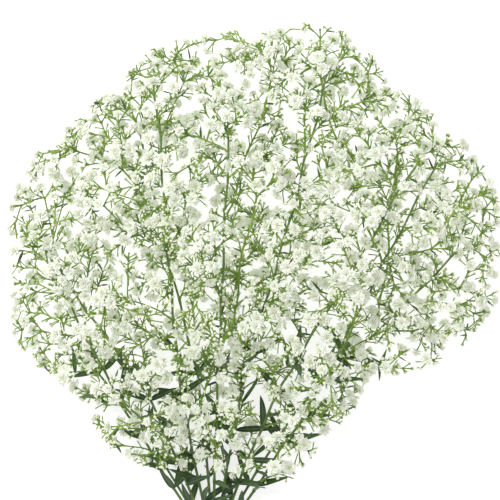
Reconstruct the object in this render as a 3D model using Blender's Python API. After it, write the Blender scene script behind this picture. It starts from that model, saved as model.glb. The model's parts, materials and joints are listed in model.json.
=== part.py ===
"""A cut bunch of baby's breath lying on its side: ten branching stems and the band that holds them.

Lengths are in millimetres while the plant grows and in metres in the finished meshes.
The cut ends point to -Y, the crown of flowers to +Y, and +Z is up.
"""

import heapq
import math
import random

import bpy
import numpy as np
from mathutils import Vector

MM = 0.001
SEED = 41

# The bunch as a whole.
BAND_X = -32.0
BAND_Y = -62.0
TAIL_Y = -182.0
TAIL_SPREAD = 1.5
STEM_PITCH = 3.5
STEM_RADIUS = 1.4
STEM_TIP_RADIUS = 0.85
LOWEST_STEM_Z = 2.95

# The crown, as a reach from its middle that changes with the bearing.
CROWN_X = -4.0
CROWN_Y = 170.0
CROWN_REACH = 200.0
CROWN_WAVES = (
    (1, 41.4, 93.4),
    (2, 13.0, 43.3),
    (3, 12.9, 23.1),
    (4, 12.0, -0.6),
    (5, 3.3, -0.5),
    (9, 5.0, 30.0),
)
CROWN_HEIGHT = 125.0
CROWN_RIM_HEIGHT = 42.0

# Each stem: place across the band, row, lean where it leaves the band, lean in the crown, rise.
STEMS = (
    (-1.0, 0, -31.0, -45.0, 4.0),
    (0.0, 0, -5.0, -14.0, 3.5),
    (1.0, 0, 30.0, 46.0, 4.0),
    (-1.5, 1, -33.0, -27.0, 10.0),
    (-0.5, 1, -12.0, -4.0, 12.0),
    (0.5, 1, 9.0, 15.0, 11.0),
    (1.5, 1, 35.0, 27.0, 10.0),
    (-1.0, 2, -21.0, -35.0, 14.5),
    (0.0, 2, 1.0, 3.0, 17.0),
    (1.0, 2, 20.0, 31.0, 15.0),
)

# Branching.
LEAF_NODES = (34.0, 54.0, 72.0)
FIRST_NODE = (80.0, 100.0)
NODE_STEP = (27.0, 38.0)
MAIN_END = 0.82
SIDE_TILT = (34.0, 52.0)
AXIS_RADIUS = 0.7
TWIG_RADIUS = 0.5
SPRAY_GAP = 60.0
DEPTH_SHARE = 0.55
FILL_GAP = 15.6
FILL_TRIES = 2500
SPRAY_STEPS = (15.0, 11.5, 8.0)
GAP = 0.45
HEAD_KEY = 1000000
MOST_SHOOTS = 30000

# Flowers, buds and leaves.
BLOOM_RADIUS = (5.2, 6.6)
OPENING_RADIUS = (3.0, 3.8)
BUD_RADIUS = (1.5, 2.1)
OPENING_SHARE = 0.07
SECOND_BLOOM = 0.62
LEAF_LENGTH = (30.0, 46.0)
LEAF_HALF_WIDTH = 2.8
LEAF_STALK = 0.22
LEAF_TILT = (26.0, 86.0)
LEAF_TRIES = 60
LEAF_TURN = 0.45
BLADE_ROOM = 1.4
LEAF_GAP = 0.2
LEAF_KEEL = 0.9
LEAF_TOP_Y = 125.0

# The coarse model.
PETALS = 5
STEM_SIDES = 5
COLLAR = 1.2
BUD_SHARE = 25
FOOT = 0.7
BAND_WIDTH = 4.0
BAND_THICKNESS = 1.2
BAND_GAP = 0.35
BAND_STEPS = 20


def between(rng, pair):
    return rng.uniform(pair[0], pair[1])


def heading(lean, rise):
    """The direction that leans from +Y towards +X by one angle and rises from level by the other."""
    lean = math.radians(lean)
    rise = math.radians(rise)
    flat = math.cos(rise)
    return Vector((math.sin(lean) * flat, math.cos(lean) * flat, math.sin(rise)))


def square_to(direction, hint):
    """The unit vector square to a direction that lies nearest to a hint."""
    side = hint - direction * hint.dot(direction)
    if side.length < 1e-4:
        side = direction.orthogonal()
    return side.normalized()


def tilted(direction, side, tilt, bearing):
    """A direction tilted away from another one, on a bearing counted round it from its side vector."""
    tilt = math.radians(tilt)
    bearing = math.radians(bearing)
    other = direction.cross(side)
    out = side * math.cos(bearing) + other * math.sin(bearing)
    return (direction * math.cos(tilt) + out * math.sin(tilt)).normalized()


def crown_share(point):
    """How far out a point lies in plan: 0 at the middle of the crown and 1 at its outline."""
    dx = point.x - CROWN_X
    dy = point.y - CROWN_Y
    bearing = math.atan2(dy, dx)
    reach = CROWN_REACH
    for times, height, phase in CROWN_WAVES:
        reach += height * math.cos(times * (bearing - math.radians(phase)))
    return math.hypot(dx, dy) / reach


def crown_top(point):
    """The height of the crown over a point of the floor."""
    share = min(crown_share(point), 1.0)
    dome = CROWN_RIM_HEIGHT + CROWN_HEIGHT * math.sqrt(1.0 - share * share)
    away = math.hypot(point.x - BAND_X, point.y - BAND_Y)
    return min(dome, 14.0 + 0.72 * away)


def in_crown(point, limit=1.0):
    return point.z > 0.0 and crown_share(point) < limit and point.z < crown_top(point)


def room_ahead(point, direction, most):
    """How far one can go from a point before leaving the crown."""
    far = 0.0
    while far < most and in_crown(point + direction * (far + 5.0), 0.97):
        far += 5.0
    return far


def blade_lines(a, b, hint):
    """The middle lines of the two halves of a leaf's blade."""
    direction = (b - a).normalized()
    across = square_to(direction, hint).cross(direction)
    foot = a.lerp(b, LEAF_STALK)
    wide = LEAF_HALF_WIDTH * 0.5
    return [(foot + across * wide * s, b + across * wide * 0.45 * s) for s in (-1.0, 1.0)]


class Space:
    """All the room that is taken so far, as capsules."""

    def __init__(self):
        self.count = 0
        self.start = np.zeros((MOST_SHOOTS, 3))
        self.along = np.zeros((MOST_SHOOTS, 3))
        self.size = np.zeros(MOST_SHOOTS)
        self.square = np.zeros(MOST_SHOOTS)
        self.low = np.zeros((3, MOST_SHOOTS))
        self.high = np.zeros((3, MOST_SHOOTS))
        self.index = {}

    def add(self, a, b, radius, owner):
        k = self.count
        self.start[k] = a
        self.along[k] = b - a
        self.size[k] = radius
        self.square[k] = max((b - a).length_squared, 1e-9)
        self.low[:, k] = np.minimum(a, b)
        self.high[:, k] = np.maximum(a, b)
        self.index[owner] = k
        self.count += 1

    def gap(self, a, b, radius, skip=(), only=None):
        """The smallest gap between a capsule and what is there, leaving out the skipped owners."""
        n = self.count
        if n == 0:
            return 99.0
        if only is None:
            low = np.minimum(a, b) - radius - 10.0
            high = np.maximum(a, b) + radius + 10.0
            x, y, z = self.low[:, :n]
            pick = (x < high[0]) & (y < high[1]) & (z < high[2])
            x, y, z = self.high[:, :n]
            pick &= (x > low[0]) & (y > low[1]) & (z > low[2])
            for owner in skip:
                pick[self.index[owner]] = False
            where = np.nonzero(pick)[0]
        else:
            where = np.array([self.index[owner] for owner in only])
        if len(where) == 0:
            return 99.0
        d1 = np.array(b - a)
        d2 = self.along[where]
        r = np.array(a) - self.start[where]
        aa = max(float(d1 @ d1), 1e-9)
        ee = self.square[where]
        c = r @ d1
        f = np.einsum("ij,ij->i", d2, r)
        bb = d2 @ d1
        low_part = aa * ee - bb * bb
        s = np.where(low_part > 1e-9, (bb * f - c * ee) / np.maximum(low_part, 1e-9), 0.0)
        s = np.clip(s, 0.0, 1.0)
        t = np.clip((bb * s + f) / ee, 0.0, 1.0)
        s = np.clip((bb * t - c) / aa, 0.0, 1.0)
        apart = r + s[:, None] * d1 - t[:, None] * d2
        gaps = np.sqrt(np.einsum("ij,ij->i", apart, apart)) - self.size[where] - radius
        return float(gaps.min())


class Shoot:
    """One straight length of the plant from a to b, with what grows from its end."""

    def __init__(self, kind, a, b, radius, side, stem):
        self.kind = kind
        self.a = a
        self.b = b
        self.radius = radius
        self.direction = (b - a).normalized()
        self.side = square_to(self.direction, side)
        self.stem = stem
        self.kids = []
        self.size = 0.0
        self.rank = 0
        self.number = 0
        self.kept = True
        self.slot = None
        self.parent = None
        self.straight = False


class Plant:
    """Grows the whole bunch, one shoot at a time, into free room only."""

    def __init__(self, seed):
        self.rng = random.Random(seed)
        self.space = Space()
        self.stems = []
        self.shoots = []
        self.centres = []
        self.tasks = []
        self.turn = 0

    def place(self, shoot, parent=None, slot=None):
        shoot.number = len(self.shoots)
        shoot.slot = slot
        self.shoots.append(shoot)
        if parent is not None:
            parent.kids.append(shoot)
            shoot.parent = parent
        if shoot.kind == "leaf":
            foot = shoot.a.lerp(shoot.b, LEAF_STALK)
            self.space.add(shoot.a, foot, 0.6, shoot.number)
            for half, (low, high) in enumerate(blade_lines(shoot.a, shoot.b, shoot.side)):
                self.space.add(low, high, BLADE_ROOM, (half + 1) * HEAD_KEY + shoot.number)
            return shoot
        self.space.add(shoot.a, shoot.b, shoot.radius, shoot.number)
        if shoot.size > 0.0:
            middle = shoot.b + shoot.direction * (shoot.size * 0.55)
            self.space.add(middle, middle, shoot.size, HEAD_KEY + shoot.number)
        return shoot

    def fits(self, a, b, radius, size, near, room=GAP):
        """Whether a twig from a to b, with a head of a size, has room; near ones share its node."""
        if b.z < radius + 0.1:
            return False
        if self.space.gap(a, b, radius, near) < room:
            return False
        length = (b - a).length
        start = a + (b - a) * min(0.5, 3.2 / length)
        if self.space.gap(start, b, radius, (), near) < room:
            return False
        if size > 0.0:
            direction = (b - a) / length
            middle = b + direction * (size * 0.55)
            if middle.z < size + 0.05 or middle.z > crown_top(middle) + 6.0:
                return False
            out = (middle - Vector((CROWN_X, CROWN_Y, middle.z))).normalized()
            if crown_share(middle + out * size) > 1.0:
                return False
            if self.space.gap(middle, middle, size, ()) < room:
                return False
        return True

    def later(self, rank, task):
        self.turn += 1
        heapq.heappush(self.tasks, (rank + self.rng.random(), self.turn, task))

    def crowded(self, centre, apart):
        for other in self.centres:
            gap = other - centre
            if math.sqrt(gap.x * gap.x + gap.y * gap.y + DEPTH_SHARE * gap.z * gap.z) < apart:
                return True
        return False

    def main_stem(self, number, plan):
        """A thick stem: tail, band, bend and then nodes out to near the edge of the crown."""
        rng = self.rng
        across, row, lean_low, lean_high, rise = plan
        z = LOWEST_STEM_Z + row * STEM_PITCH * 0.87
        x = BAND_X + across * STEM_PITCH
        tail_y = TAIL_Y + rng.uniform(-7.0, 7.0)
        tail_z = max(LOWEST_STEM_Z - 1.6, z + (row - 1) * STEM_PITCH * 0.35)
        tail = Vector((BAND_X + across * STEM_PITCH * TAIL_SPREAD, tail_y, tail_z))
        points = [(tail, "")]
        points.append((Vector((x, BAND_Y - 12.0, z)), ""))
        points.append((Vector((x, BAND_Y + 7.0, z)), ""))
        p = points[-1][0].copy()
        far = 7.0
        marks = [(20.0, "")] + [(at + rng.uniform(-4.0, 4.0), "leaves") for at in LEAF_NODES]
        node = between(rng, FIRST_NODE)
        wag = 1.0 if rng.random() < 0.5 else -1.0
        sway = 0.0
        while True:
            ease = min(1.0, (far - 4.0) / 30.0)
            mix = min(1.0, max(0.0, (far - 110.0) / 90.0))
            lean = (lean_low * (1.0 - mix) + lean_high * mix) * ease + sway
            p = p + heading(lean, rise * ease) * 2.0
            far += 2.0
            if marks and far >= marks[0][0]:
                points.append((p.copy(), marks.pop(0)[1]))
            at_edge = far > 215.0 and crown_share(p) > MAIN_END
            if far >= node or at_edge:
                points.append((p.copy(), "branches"))
                if at_edge:
                    break
                if p.z > crown_top(p) - 30.0 and far > 150.0:
                    break
                node = far + between(rng, NODE_STEP)
                wag = -wag
                sway = wag * rng.uniform(1.5, 4.5)
        axis = []
        steps = len(points) - 1
        ahead = heading(lean_low, rise)
        side = tilted(ahead, square_to(ahead, Vector((0, 0, 1))), 90.0, rng.uniform(0, 360))
        parent = None
        for k in range(steps):
            share = k / max(1, steps - 1)
            radius = STEM_RADIUS + (STEM_TIP_RADIUS - STEM_RADIUS) * share
            if points[k + 1][1]:
                side = ahead.cross(side)
            shoot = Shoot("axis", points[k][0], points[k + 1][0], radius, side, number)
            self.place(shoot, parent, "on" if parent else None)
            axis.append((shoot, points[k + 1][1]))
            parent = shoot
        self.stems.append(axis)
        last = axis[-1][0]
        self.centres.append(last.b + last.direction * 24.0)

    def leaf(self, parent, bearing, near, length):
        """A narrow leaf that arches out from a node."""
        rng = self.rng
        for attempt in range(LEAF_TRIES):
            at = bearing + rng.uniform(-34.0, 34.0)
            d = tilted(parent.direction, parent.side, between(rng, LEAF_TILT), at)
            b = parent.b + d * length
            if b.z < 3.0 or crown_share(b) > 0.97:
                continue
            if not self.fits(parent.b, b, 0.6, 0.0, near, 0.6):
                continue
            face = parent.direction * LEAF_TURN + Vector((0.0, 0.0, 1.0))
            halves = blade_lines(parent.b, b, face)
            space = self.space
            if min(space.gap(low, high, BLADE_ROOM, (parent.number,)) for low, high in halves) < LEAF_GAP:
                continue
            shoot = Shoot("leaf", parent.b, b, 0.6, face, parent.stem)
            shoot.size = length
            self.place(shoot, parent, at)
            return shoot
        return None

    def start_node(self, parent, rank):
        """Leaves and side branches at a node of a thick stem."""
        rng = self.rng
        near = [parent.number] + [kid.number for kid in parent.kids]
        for bearing in (0.0, 180.0):
            self.later(rank, ("side", parent, bearing, 1))
        length = between(rng, LEAF_LENGTH)
        if parent.b.y < LEAF_TOP_Y:
            for bearing in (0.0, 180.0):
                leaf = self.leaf(parent, bearing, near, length * rng.uniform(0.85, 1.0))
                if leaf is not None:
                    near.append(leaf.number)

    def leaf_node(self, parent):
        """A node low on a thick stem, with leaves all round it and no branches."""
        near = [parent.number] + [kid.number for kid in parent.kids]
        for bearing in (0.0, 120.0, 240.0):
            leaf = self.leaf(parent, bearing, near, between(self.rng, LEAF_LENGTH))
            if leaf is not None:
                near.append(leaf.number)

    def side_branch(self, parent, bearing, order):
        """A side branch that heads for the emptiest room it can reach."""
        rng = self.rng
        near = [parent.number] + [kid.number for kid in parent.kids]
        best = None
        for attempt in range(26):
            tilt = between(rng, SIDE_TILT)
            at = bearing + rng.uniform(-26.0, 26.0)
            d = tilted(parent.direction, parent.side, tilt, at)
            d = (d + Vector((0.0, 0.10, 0.06))).normalized()
            reach = room_ahead(parent.b, d, 120.0 if order == 1 else 75.0)
            if reach < 26.0:
                continue
            first = rng.uniform(16.0, 34.0) if order == 1 else rng.uniform(12.0, 20.0)
            first = min(first, reach * 0.45)
            centre = parent.b + d * min(reach - 14.0, first + 26.0)
            apart = SPRAY_GAP * (0.86 if order > 1 else 1.0)
            apart *= 0.7 + 0.3 * min(1.0, max(0.0, (centre.y - 40.0) / 90.0))
            apart *= 0.8 + 0.34 * crown_share(centre)
            if self.crowded(centre, apart):
                continue
            gaps = [math.hypot(other.x - centre.x, other.y - centre.y) for other in self.centres]
            score = min(gaps + [70.0]) + rng.uniform(0.0, 8.0)
            if best is None or score > best[0]:
                if self.fits(parent.b, parent.b + d * first, AXIS_RADIUS, 0.0, near):
                    best = (score, d, first, reach, centre, at)
        if best is None:
            return
        score, d, first, reach, centre, at = best
        shoot = Shoot("twig", parent.b, parent.b + d * first, AXIS_RADIUS, parent.side, parent.stem)
        shoot.side = square_to(d, d.cross(parent.direction))
        self.place(shoot, parent, at)
        self.centres.append(centre)
        left = reach - first
        if left > 62.0 and order < 3:
            self.later(order + 0.6, ("node", shoot, order))
        else:
            self.later(10.0, ("fork", shoot, 0))

    def side_node(self, parent, order):
        """A node part way along a side branch: the branch goes on and two more leave it."""
        rng = self.rng
        near = [parent.number]
        placed = None
        for attempt in range(14):
            tilt = rng.uniform(4.0, 18.0)
            d = tilted(parent.direction, parent.side, tilt, 270.0 + rng.uniform(-35.0, 35.0))
            d = (d + Vector((0.0, 0.06, 0.04))).normalized()
            step = rng.uniform(18.0, 26.0)
            if room_ahead(parent.b, d, 80.0) < step + 16.0:
                continue
            if self.fits(parent.b, parent.b + d * step, AXIS_RADIUS, 0.0, near):
                placed = Shoot("twig", parent.b, parent.b + d * step, AXIS_RADIUS, parent.side, parent.stem)
                placed.side = square_to(d, parent.direction.cross(parent.side))
                self.place(placed, parent, 270.0)
                self.centres.append(placed.b + d * 14.0)
                break
        for bearing in (12.0, 168.0):
            self.later(order + 1.2, ("side", parent, bearing, order + 1))
        if placed is not None:
            if room_ahead(placed.b, placed.direction, 90.0) > 62.0:
                self.later(order + 1.8, ("node", placed, order))
            else:
                self.later(10.0, ("fork", placed, 0))

    def fork(self, parent, level):
        """A fork of a spray: a flower in the middle and a twig to either side."""
        rng = self.rng
        near = [parent.number] + [kid.number for kid in parent.kids]
        edge = crown_share(parent.b)
        last = level + 1 == len(SPRAY_STEPS)
        for bearing in (12.0, 168.0):
            kind, size, best = "twig", 0.0, None
            if last and rng.random() < SECOND_BLOOM * (1.0 if edge < 0.8 else 0.5):
                kind, size = "bloom", between(rng, BLOOM_RADIUS) * 0.95
                best = self.place_to_grow(parent, bearing, (7.0, 12.0), size, near)
            if best is None:
                if last:
                    kind, size = self.last_head()
                    best = self.place_to_grow(parent, bearing, (4.0, 8.0), size, near)
                else:
                    steps = (SPRAY_STEPS[level] * 0.75, SPRAY_STEPS[level] * 1.25)
                    best = self.place_to_grow(parent, bearing, steps, 0.0, near)
            if best is None:
                continue
            shoot = Shoot(kind, parent.b, best[2], TWIG_RADIUS, parent.side, parent.stem)
            shoot.size = size
            shoot.side = square_to(best[1], best[1].cross(parent.direction))
            shoot.rank = level + 1
            self.place(shoot, parent, best[3])
            near.append(shoot.number)
            if not last:
                self.later(11.0 + level, ("fork", shoot, level + 1))
        self.middle_flower(parent, level, near, edge)

    def place_to_grow(self, parent, bearing, steps, size, near):
        """The roomiest of a dozen ways for a twig to leave a fork on one side, or None."""
        rng = self.rng
        best = None
        for attempt in range(12):
            at = bearing + rng.uniform(-24.0, 24.0)
            d = tilted(parent.direction, parent.side, rng.uniform(26.0, 54.0), at)
            b = parent.b + d * between(rng, steps)
            if crown_share(b) > 0.99 or b.z > crown_top(b) + 3.0:
                continue
            if not self.fits(parent.b, b, TWIG_RADIUS, size, near):
                continue
            ahead = b + d * 7.0
            score = min(self.space.gap(ahead, ahead, 0.0), 9.0) + rng.random() * 2.0
            if best is None or score > best[0]:
                best = (score, d, b, at)
        return best

    def last_head(self):
        rng = self.rng
        if rng.random() < OPENING_SHARE:
            return "opening", between(rng, OPENING_RADIUS)
        return "bud", between(rng, BUD_RADIUS)

    def middle_flower(self, parent, level, near, edge):
        """The flower that ends the shoot itself, as large as the room lets it be."""
        rng = self.rng
        choices = []
        open_share = (1.0, 0.97, 0.86)[level] if edge < 0.72 else (0.9, 0.72, 0.4)[level]
        if rng.random() < open_share:
            choices.append(("bloom", BLOOM_RADIUS))
        if level < 1 or rng.random() < 0.45:
            choices.append(("opening", OPENING_RADIUS))
        choices.append(("bud", BUD_RADIUS))
        for kind, sizes in choices:
            size = between(rng, sizes)
            for attempt in range(14):
                tilt = rng.uniform(4.0, 24.0)
                at = 270.0 + rng.uniform(-42.0, 42.0)
                d = tilted(parent.direction, parent.side, tilt, at)
                step = rng.uniform(4.5, 9.0) + attempt * 0.35
                b = parent.b + d * step
                if self.fits(parent.b, b, TWIG_RADIUS, size, near):
                    shoot = Shoot(kind, parent.b, b, TWIG_RADIUS, parent.side, parent.stem)
                    shoot.size = size
                    shoot.rank = level + 1
                    self.place(shoot, parent, at)
                    return

    def grow(self):
        for number, plan in enumerate(STEMS):
            self.main_stem(number, plan)
        for axis in self.stems:
            for shoot, node in axis[:-1]:
                if node == "branches":
                    self.start_node(shoot, 1.0)
                elif node == "leaves":
                    self.leaf_node(shoot)
            self.later(0.0, ("fork", axis[-1][0], 0))
        self.work()
        self.fill()

    def work(self):
        while self.tasks:
            rank, turn, task = heapq.heappop(self.tasks)
            if task[0] == "side":
                self.side_branch(*task[1:])
            elif task[0] == "node":
                self.side_node(*task[1:])
            else:
                self.fork(*task[1:])

    def fill(self):
        """Sends small sprays from the thick stems into whatever looks empty from above."""
        rng = self.rng
        joints = [shoot for axis in self.stems for shoot, node in axis[:-1] if node == "branches"]
        heads = [shoot.b for shoot in self.shoots if shoot.kind in ("bloom", "opening")]
        for attempt in range(FILL_TRIES):
            aim = Vector((rng.uniform(-220.0, 220.0), rng.uniform(40.0, 400.0), 0.0))
            aim.z = 14.0 + rng.random() * (crown_top(aim) - 30.0)
            if crown_share(aim) > 0.93 or aim.z < 12.0:
                continue
            if any(math.hypot(head.x - aim.x, head.y - aim.y) < FILL_GAP for head in heads):
                continue
            done = self.fill_from(joints, aim)
            if done is not None:
                known = len(self.shoots)
                self.fork(done, 1)
                self.work()
                new = self.shoots[known:]
                heads += [shoot.b for shoot in new if shoot.kind in ("bloom", "opening")]

    def fill_from(self, joints, aim):
        """A twig from the best placed node of a thick stem towards a point, or None."""
        best = None
        for joint in joints:
            way = aim - joint.b
            far = way.length
            others = [kid for kid in joint.kids if kid.kind == "twig"]
            if far < 30.0 or far > 95.0 or len(others) > 3:
                continue
            d = way / far
            tilt = math.degrees(math.acos(max(-1.0, min(1.0, d.dot(joint.direction)))))
            if tilt < 22.0 or tilt > 68.0:
                continue
            if best is not None and far >= best[0]:
                continue
            end = joint.b + d * (far - 16.0)
            near = [joint.number] + [kid.number for kid in joint.kids]
            if self.fits(joint.b, end, TWIG_RADIUS + 0.1, 0.0, near):
                best = (far, joint, d, end)
        if best is None:
            return None
        far, joint, d, end = best
        out = square_to(joint.direction, d)
        other = joint.direction.cross(joint.side)
        bearing = math.degrees(math.atan2(out.dot(other), out.dot(joint.side)))
        shoot = Shoot("twig", joint.b, end, TWIG_RADIUS + 0.1, d.cross(joint.direction), joint.stem)
        return self.place(shoot, joint, bearing)


def prune(shoot):
    """Drops twigs that bear nothing, and marks what the coarse model keeps."""
    shoot.kids = [kid for kid in shoot.kids if prune(kid)]
    if shoot.kind in ("twig", "axis"):
        shoot.kept = any(kid.kept for kid in shoot.kids)
        return len(shoot.kids) > 0
    return True


def thin_out(plant):
    """Keeps every flower and leaf, and of the buds mostly the outermost one of each bare fork."""
    count = 0
    for shoot in plant.shoots:
        buds = [kid for kid in shoot.kids if kid.kind == "bud"]
        buds.sort(key=lambda kid: -crown_share(kid.b) - 0.3 * kid.b.z / crown_top(kid.b))
        for place, bud in enumerate(buds):
            others = any(kid.kind in ("bloom", "opening") for kid in shoot.kids)
            bud.kept = place == 0 and (not others or count % BUD_SHARE == 0)
        if buds:
            count += 1
    for axis in plant.stems:
        prune(axis[0][0])
    for shoot in plant.shoots:
        kids = [kid for kid in shoot.kids if kid.kept]
        if shoot.kind == "twig" and len(kids) == 1 and kids[0].kind in ("bloom", "opening", "bud"):
            shoot.straight = straight_room(plant, shoot, kids[0])


def straight_room(plant, shoot, kid):
    """Whether a twig and the one flower it keeps can be drawn as a single straight pedicel."""
    own = [shoot.number] + [other.number for other in shoot.kids]
    own += [other.number for other in shoot.parent.kids] + [shoot.parent.number]
    start = shoot.a + (kid.b - shoot.a) * 0.3
    return plant.space.gap(start, kid.b, TWIG_RADIUS, own + [HEAD_KEY + kid.number]) > GAP * 0.7


class Skin:
    """A skin of triangles that grows outwards from open rings until every ring is closed."""

    def __init__(self):
        self.points = []
        self.faces = []

    def ring(self, centre, direction, side, radius, count, turn=0.0):
        other = direction.cross(side)
        first = len(self.points)
        for k in range(count):
            angle = math.radians(turn) + math.tau * k / count
            self.points.append(centre + (side * math.cos(angle) + other * math.sin(angle)) * radius)
        return list(range(first, first + count))

    def middle(self, ring):
        total = Vector((0.0, 0.0, 0.0))
        for k in ring:
            total += self.points[k]
        return total / len(ring)

    def bearings(self, ring, direction, side):
        middle = self.middle(ring)
        other = direction.cross(side)
        found = []
        for k in ring:
            out = self.points[k] - middle
            found.append(math.atan2(out.dot(other), out.dot(side)))
        return found

    def join(self, low, high):
        """Walls from one ring up to the next; the rings may differ in their number of points."""
        direction = (self.middle(high) - self.middle(low)).normalized()
        side = direction.orthogonal().normalized()
        a = self.bearings(low, direction, side)
        b = self.bearings(high, direction, side)
        start = min(range(len(b)), key=lambda k: abs(math.remainder(b[k] - a[0], math.tau)))
        at_a = a[0]
        at_b = a[0] + math.remainder(b[start] - a[0], math.tau)
        i = 0
        j = 0
        while i < len(a) or j < len(b):
            next_a = at_a + (a[(i + 1) % len(a)] - a[i % len(a)]) % math.tau
            here = (start + j) % len(b)
            there = (start + j + 1) % len(b)
            next_b = at_b + (b[there] - b[here]) % math.tau
            if j == len(b) or (i < len(a) and next_a <= next_b):
                self.faces.append((low[i % len(a)], low[(i + 1) % len(a)], high[here]))
                i += 1
                at_a = next_a
            else:
                self.faces.append((low[i % len(a)], high[there], high[here]))
                j += 1
                at_b = next_b

    def lid(self, ring):
        for k in range(1, len(ring) - 1):
            self.faces.append((ring[0], ring[k], ring[k + 1]))

    def peak(self, ring, tip):
        """Closes a ring with a point."""
        self.points.append(tip)
        last = len(self.points) - 1
        for k in range(len(ring)):
            self.faces.append((ring[k], ring[(k + 1) % len(ring)], last))


def skin_bloom(skin, ring, shoot):
    """A flower: its foot widens to the tips of its petals, with a low dome on top."""
    size = shoot.size
    centre = shoot.b + shoot.direction * (size * 0.62)
    tips = skin.ring(centre, shoot.direction, shoot.side, size * 0.97, PETALS)
    skin.join(ring, tips)
    skin.peak(tips, shoot.b + shoot.direction * (size * 1.08))


def skin_bud(skin, ring, shoot, sides, tall):
    size = shoot.size
    centre = shoot.b + shoot.direction * (size * 0.62)
    belly = skin.ring(centre, shoot.direction, shoot.side, size * 0.95, sides, 30.0)
    skin.join(ring, belly)
    skin.peak(belly, shoot.b + shoot.direction * (size * tall))


def leaf_frame(shoot):
    """The upper side of a leaf turns up to the light; returns that normal and the width vector."""
    normal = square_to(shoot.direction, shoot.side)
    return normal, normal.cross(shoot.direction)


def skin_leaf(skin, ring, shoot):
    """A narrow blade, flat above and keeled below, that ends in a point."""
    normal, across = leaf_frame(shoot)
    run = shoot.b - shoot.a
    low = ring
    for share, width in ((LEAF_STALK, 0.6), (0.6, 1.0)):
        half = LEAF_HALF_WIDTH * width
        lift = normal * (math.sin(math.pi * share) * 0.03 * shoot.size)
        centre = shoot.a + run * share + lift
        first = len(skin.points)
        skin.points.append(centre + across * half)
        skin.points.append(centre - across * half)
        skin.points.append(centre - normal * (LEAF_KEEL * (0.8 + 0.2 * width)))
        high = [first, first + 1, first + 2]
        skin.join(low, high)
        low = high
    skin.peak(low, shoot.b)


def skin_shoot(skin, base, shoot):
    """Grows one shoot from the open ring at its foot, and then everything above it."""
    if shoot.kind == "leaf":
        skin_leaf(skin, base, shoot)
        return
    radius = max(shoot.radius, TWIG_RADIUS)
    if shoot.straight:
        shoot = next(kid for kid in shoot.kids if kid.kept)
    if shoot.kind != "twig":
        ring = skin.ring(shoot.b, shoot.direction, shoot.side, radius * 0.95, 3, -30.0)
        skin.join(base, ring)
        if shoot.kind == "bloom":
            skin_bloom(skin, ring, shoot)
        elif shoot.kind == "opening":
            skin_bud(skin, ring, shoot, 3, 1.35)
        else:
            skin_bud(skin, ring, shoot, 3, 1.5)
        return
    ring = skin.ring(shoot.b, shoot.direction, shoot.side, radius * 1.2, 3, -30.0)
    skin.join(base, ring)
    skin_fork(skin, ring, shoot, radius * 1.2)


def skin_fork(skin, ring, shoot, radius):
    """Raises the end of a twig to a low point whose three sides carry the next shoots."""
    skin.points.append(shoot.b + shoot.direction * (radius * 0.55))
    apex = len(skin.points) - 1
    free = {}
    for k, bearing in enumerate((30.0, 150.0, 270.0)):
        free[bearing] = (ring[k], ring[(k + 1) % 3], apex)
    kids = sorted((kid for kid in shoot.kids if kid.kept), key=lambda kid: kid.slot != 270.0)
    for kid in kids:
        slot = min(free, key=lambda at: abs(math.remainder(at - kid.slot, 360.0)))
        skin_shoot(skin, list(free.pop(slot)), kid)
    for face in free.values():
        skin.faces.append(face)


def skin_collar(skin, low, high, shoot, kids):
    """Walls of a short stretch of thick stem, some of which carry side shoots instead."""
    count = len(low)
    leaves = {}
    others = {}
    for kid in kids:
        taken = leaves if kid.kind == "leaf" else others
        free = [k for k in range(count) if k not in taken]
        wall = min(free, key=lambda k: abs(math.remainder(kid.slot - k * 360.0 / count, 360.0)))
        taken[wall] = kid
    for k in range(count):
        a, b = low[k], low[(k + 1) % count]
        c, d = high[(k + 1) % count], high[k]
        if k in leaves:
            skin_shoot(skin, [a, b, c], leaves[k])
        else:
            skin.faces.append((a, b, c))
        if k in others:
            skin_shoot(skin, [a, c, d], others[k])
        else:
            skin.faces.append((a, c, d))


def skin_stem(axis):
    """One whole stem as a single closed skin, from its cut end to its last flower."""
    skin = Skin()
    shoot = axis[0][0]
    turn = -180.0 / STEM_SIDES
    ring = skin.ring(shoot.a, shoot.direction, shoot.side, shoot.radius, STEM_SIDES, turn)
    skin.lid(ring[::-1])
    for k, (shoot, node) in enumerate(axis):
        if k + 1 == len(axis):
            high = skin.ring(shoot.b, shoot.direction, shoot.side, shoot.radius, 3, -30.0)
            skin.join(ring, high)
            skin_fork(skin, high, shoot, shoot.radius)
            break
        following = axis[k + 1][0]
        kids = [kid for kid in shoot.kids if kid is not following and kid.kept]
        if not node or not kids:
            along = (shoot.direction + following.direction).normalized()
            high = skin.ring(shoot.b, along, square_to(along, shoot.side), shoot.radius, STEM_SIDES, turn)
            skin.join(ring, high)
            ring = high
            continue
        rings = []
        swollen = shoot.radius * 1.06
        for height in (-COLLAR, COLLAR):
            centre = shoot.b + shoot.direction * height
            rings.append(skin.ring(centre, shoot.direction, shoot.side, swollen, STEM_SIDES, turn))
        skin.join(ring, rings[0])
        skin_collar(skin, rings[0], rings[1], shoot, kids)
        ring = rings[1]
    return skin


def band_outline(swell):
    """The line that an elastic band takes round the packed stems, at a distance from their surfaces."""
    centres = []
    for across, row, lean_low, lean_high, rise in STEMS:
        centres.append((BAND_X + across * STEM_PITCH, LOWEST_STEM_Z + row * STEM_PITCH * 0.87))
    line = []
    for k in range(BAND_STEPS):
        angle = math.tau * (k + 0.5) / BAND_STEPS
        nx = math.cos(angle)
        nz = math.sin(angle)
        x, z = max(centres, key=lambda at: at[0] * nx + at[1] * nz)
        line.append((x + nx * (STEM_RADIUS + swell), z + nz * (STEM_RADIUS + swell)))
    return line


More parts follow.
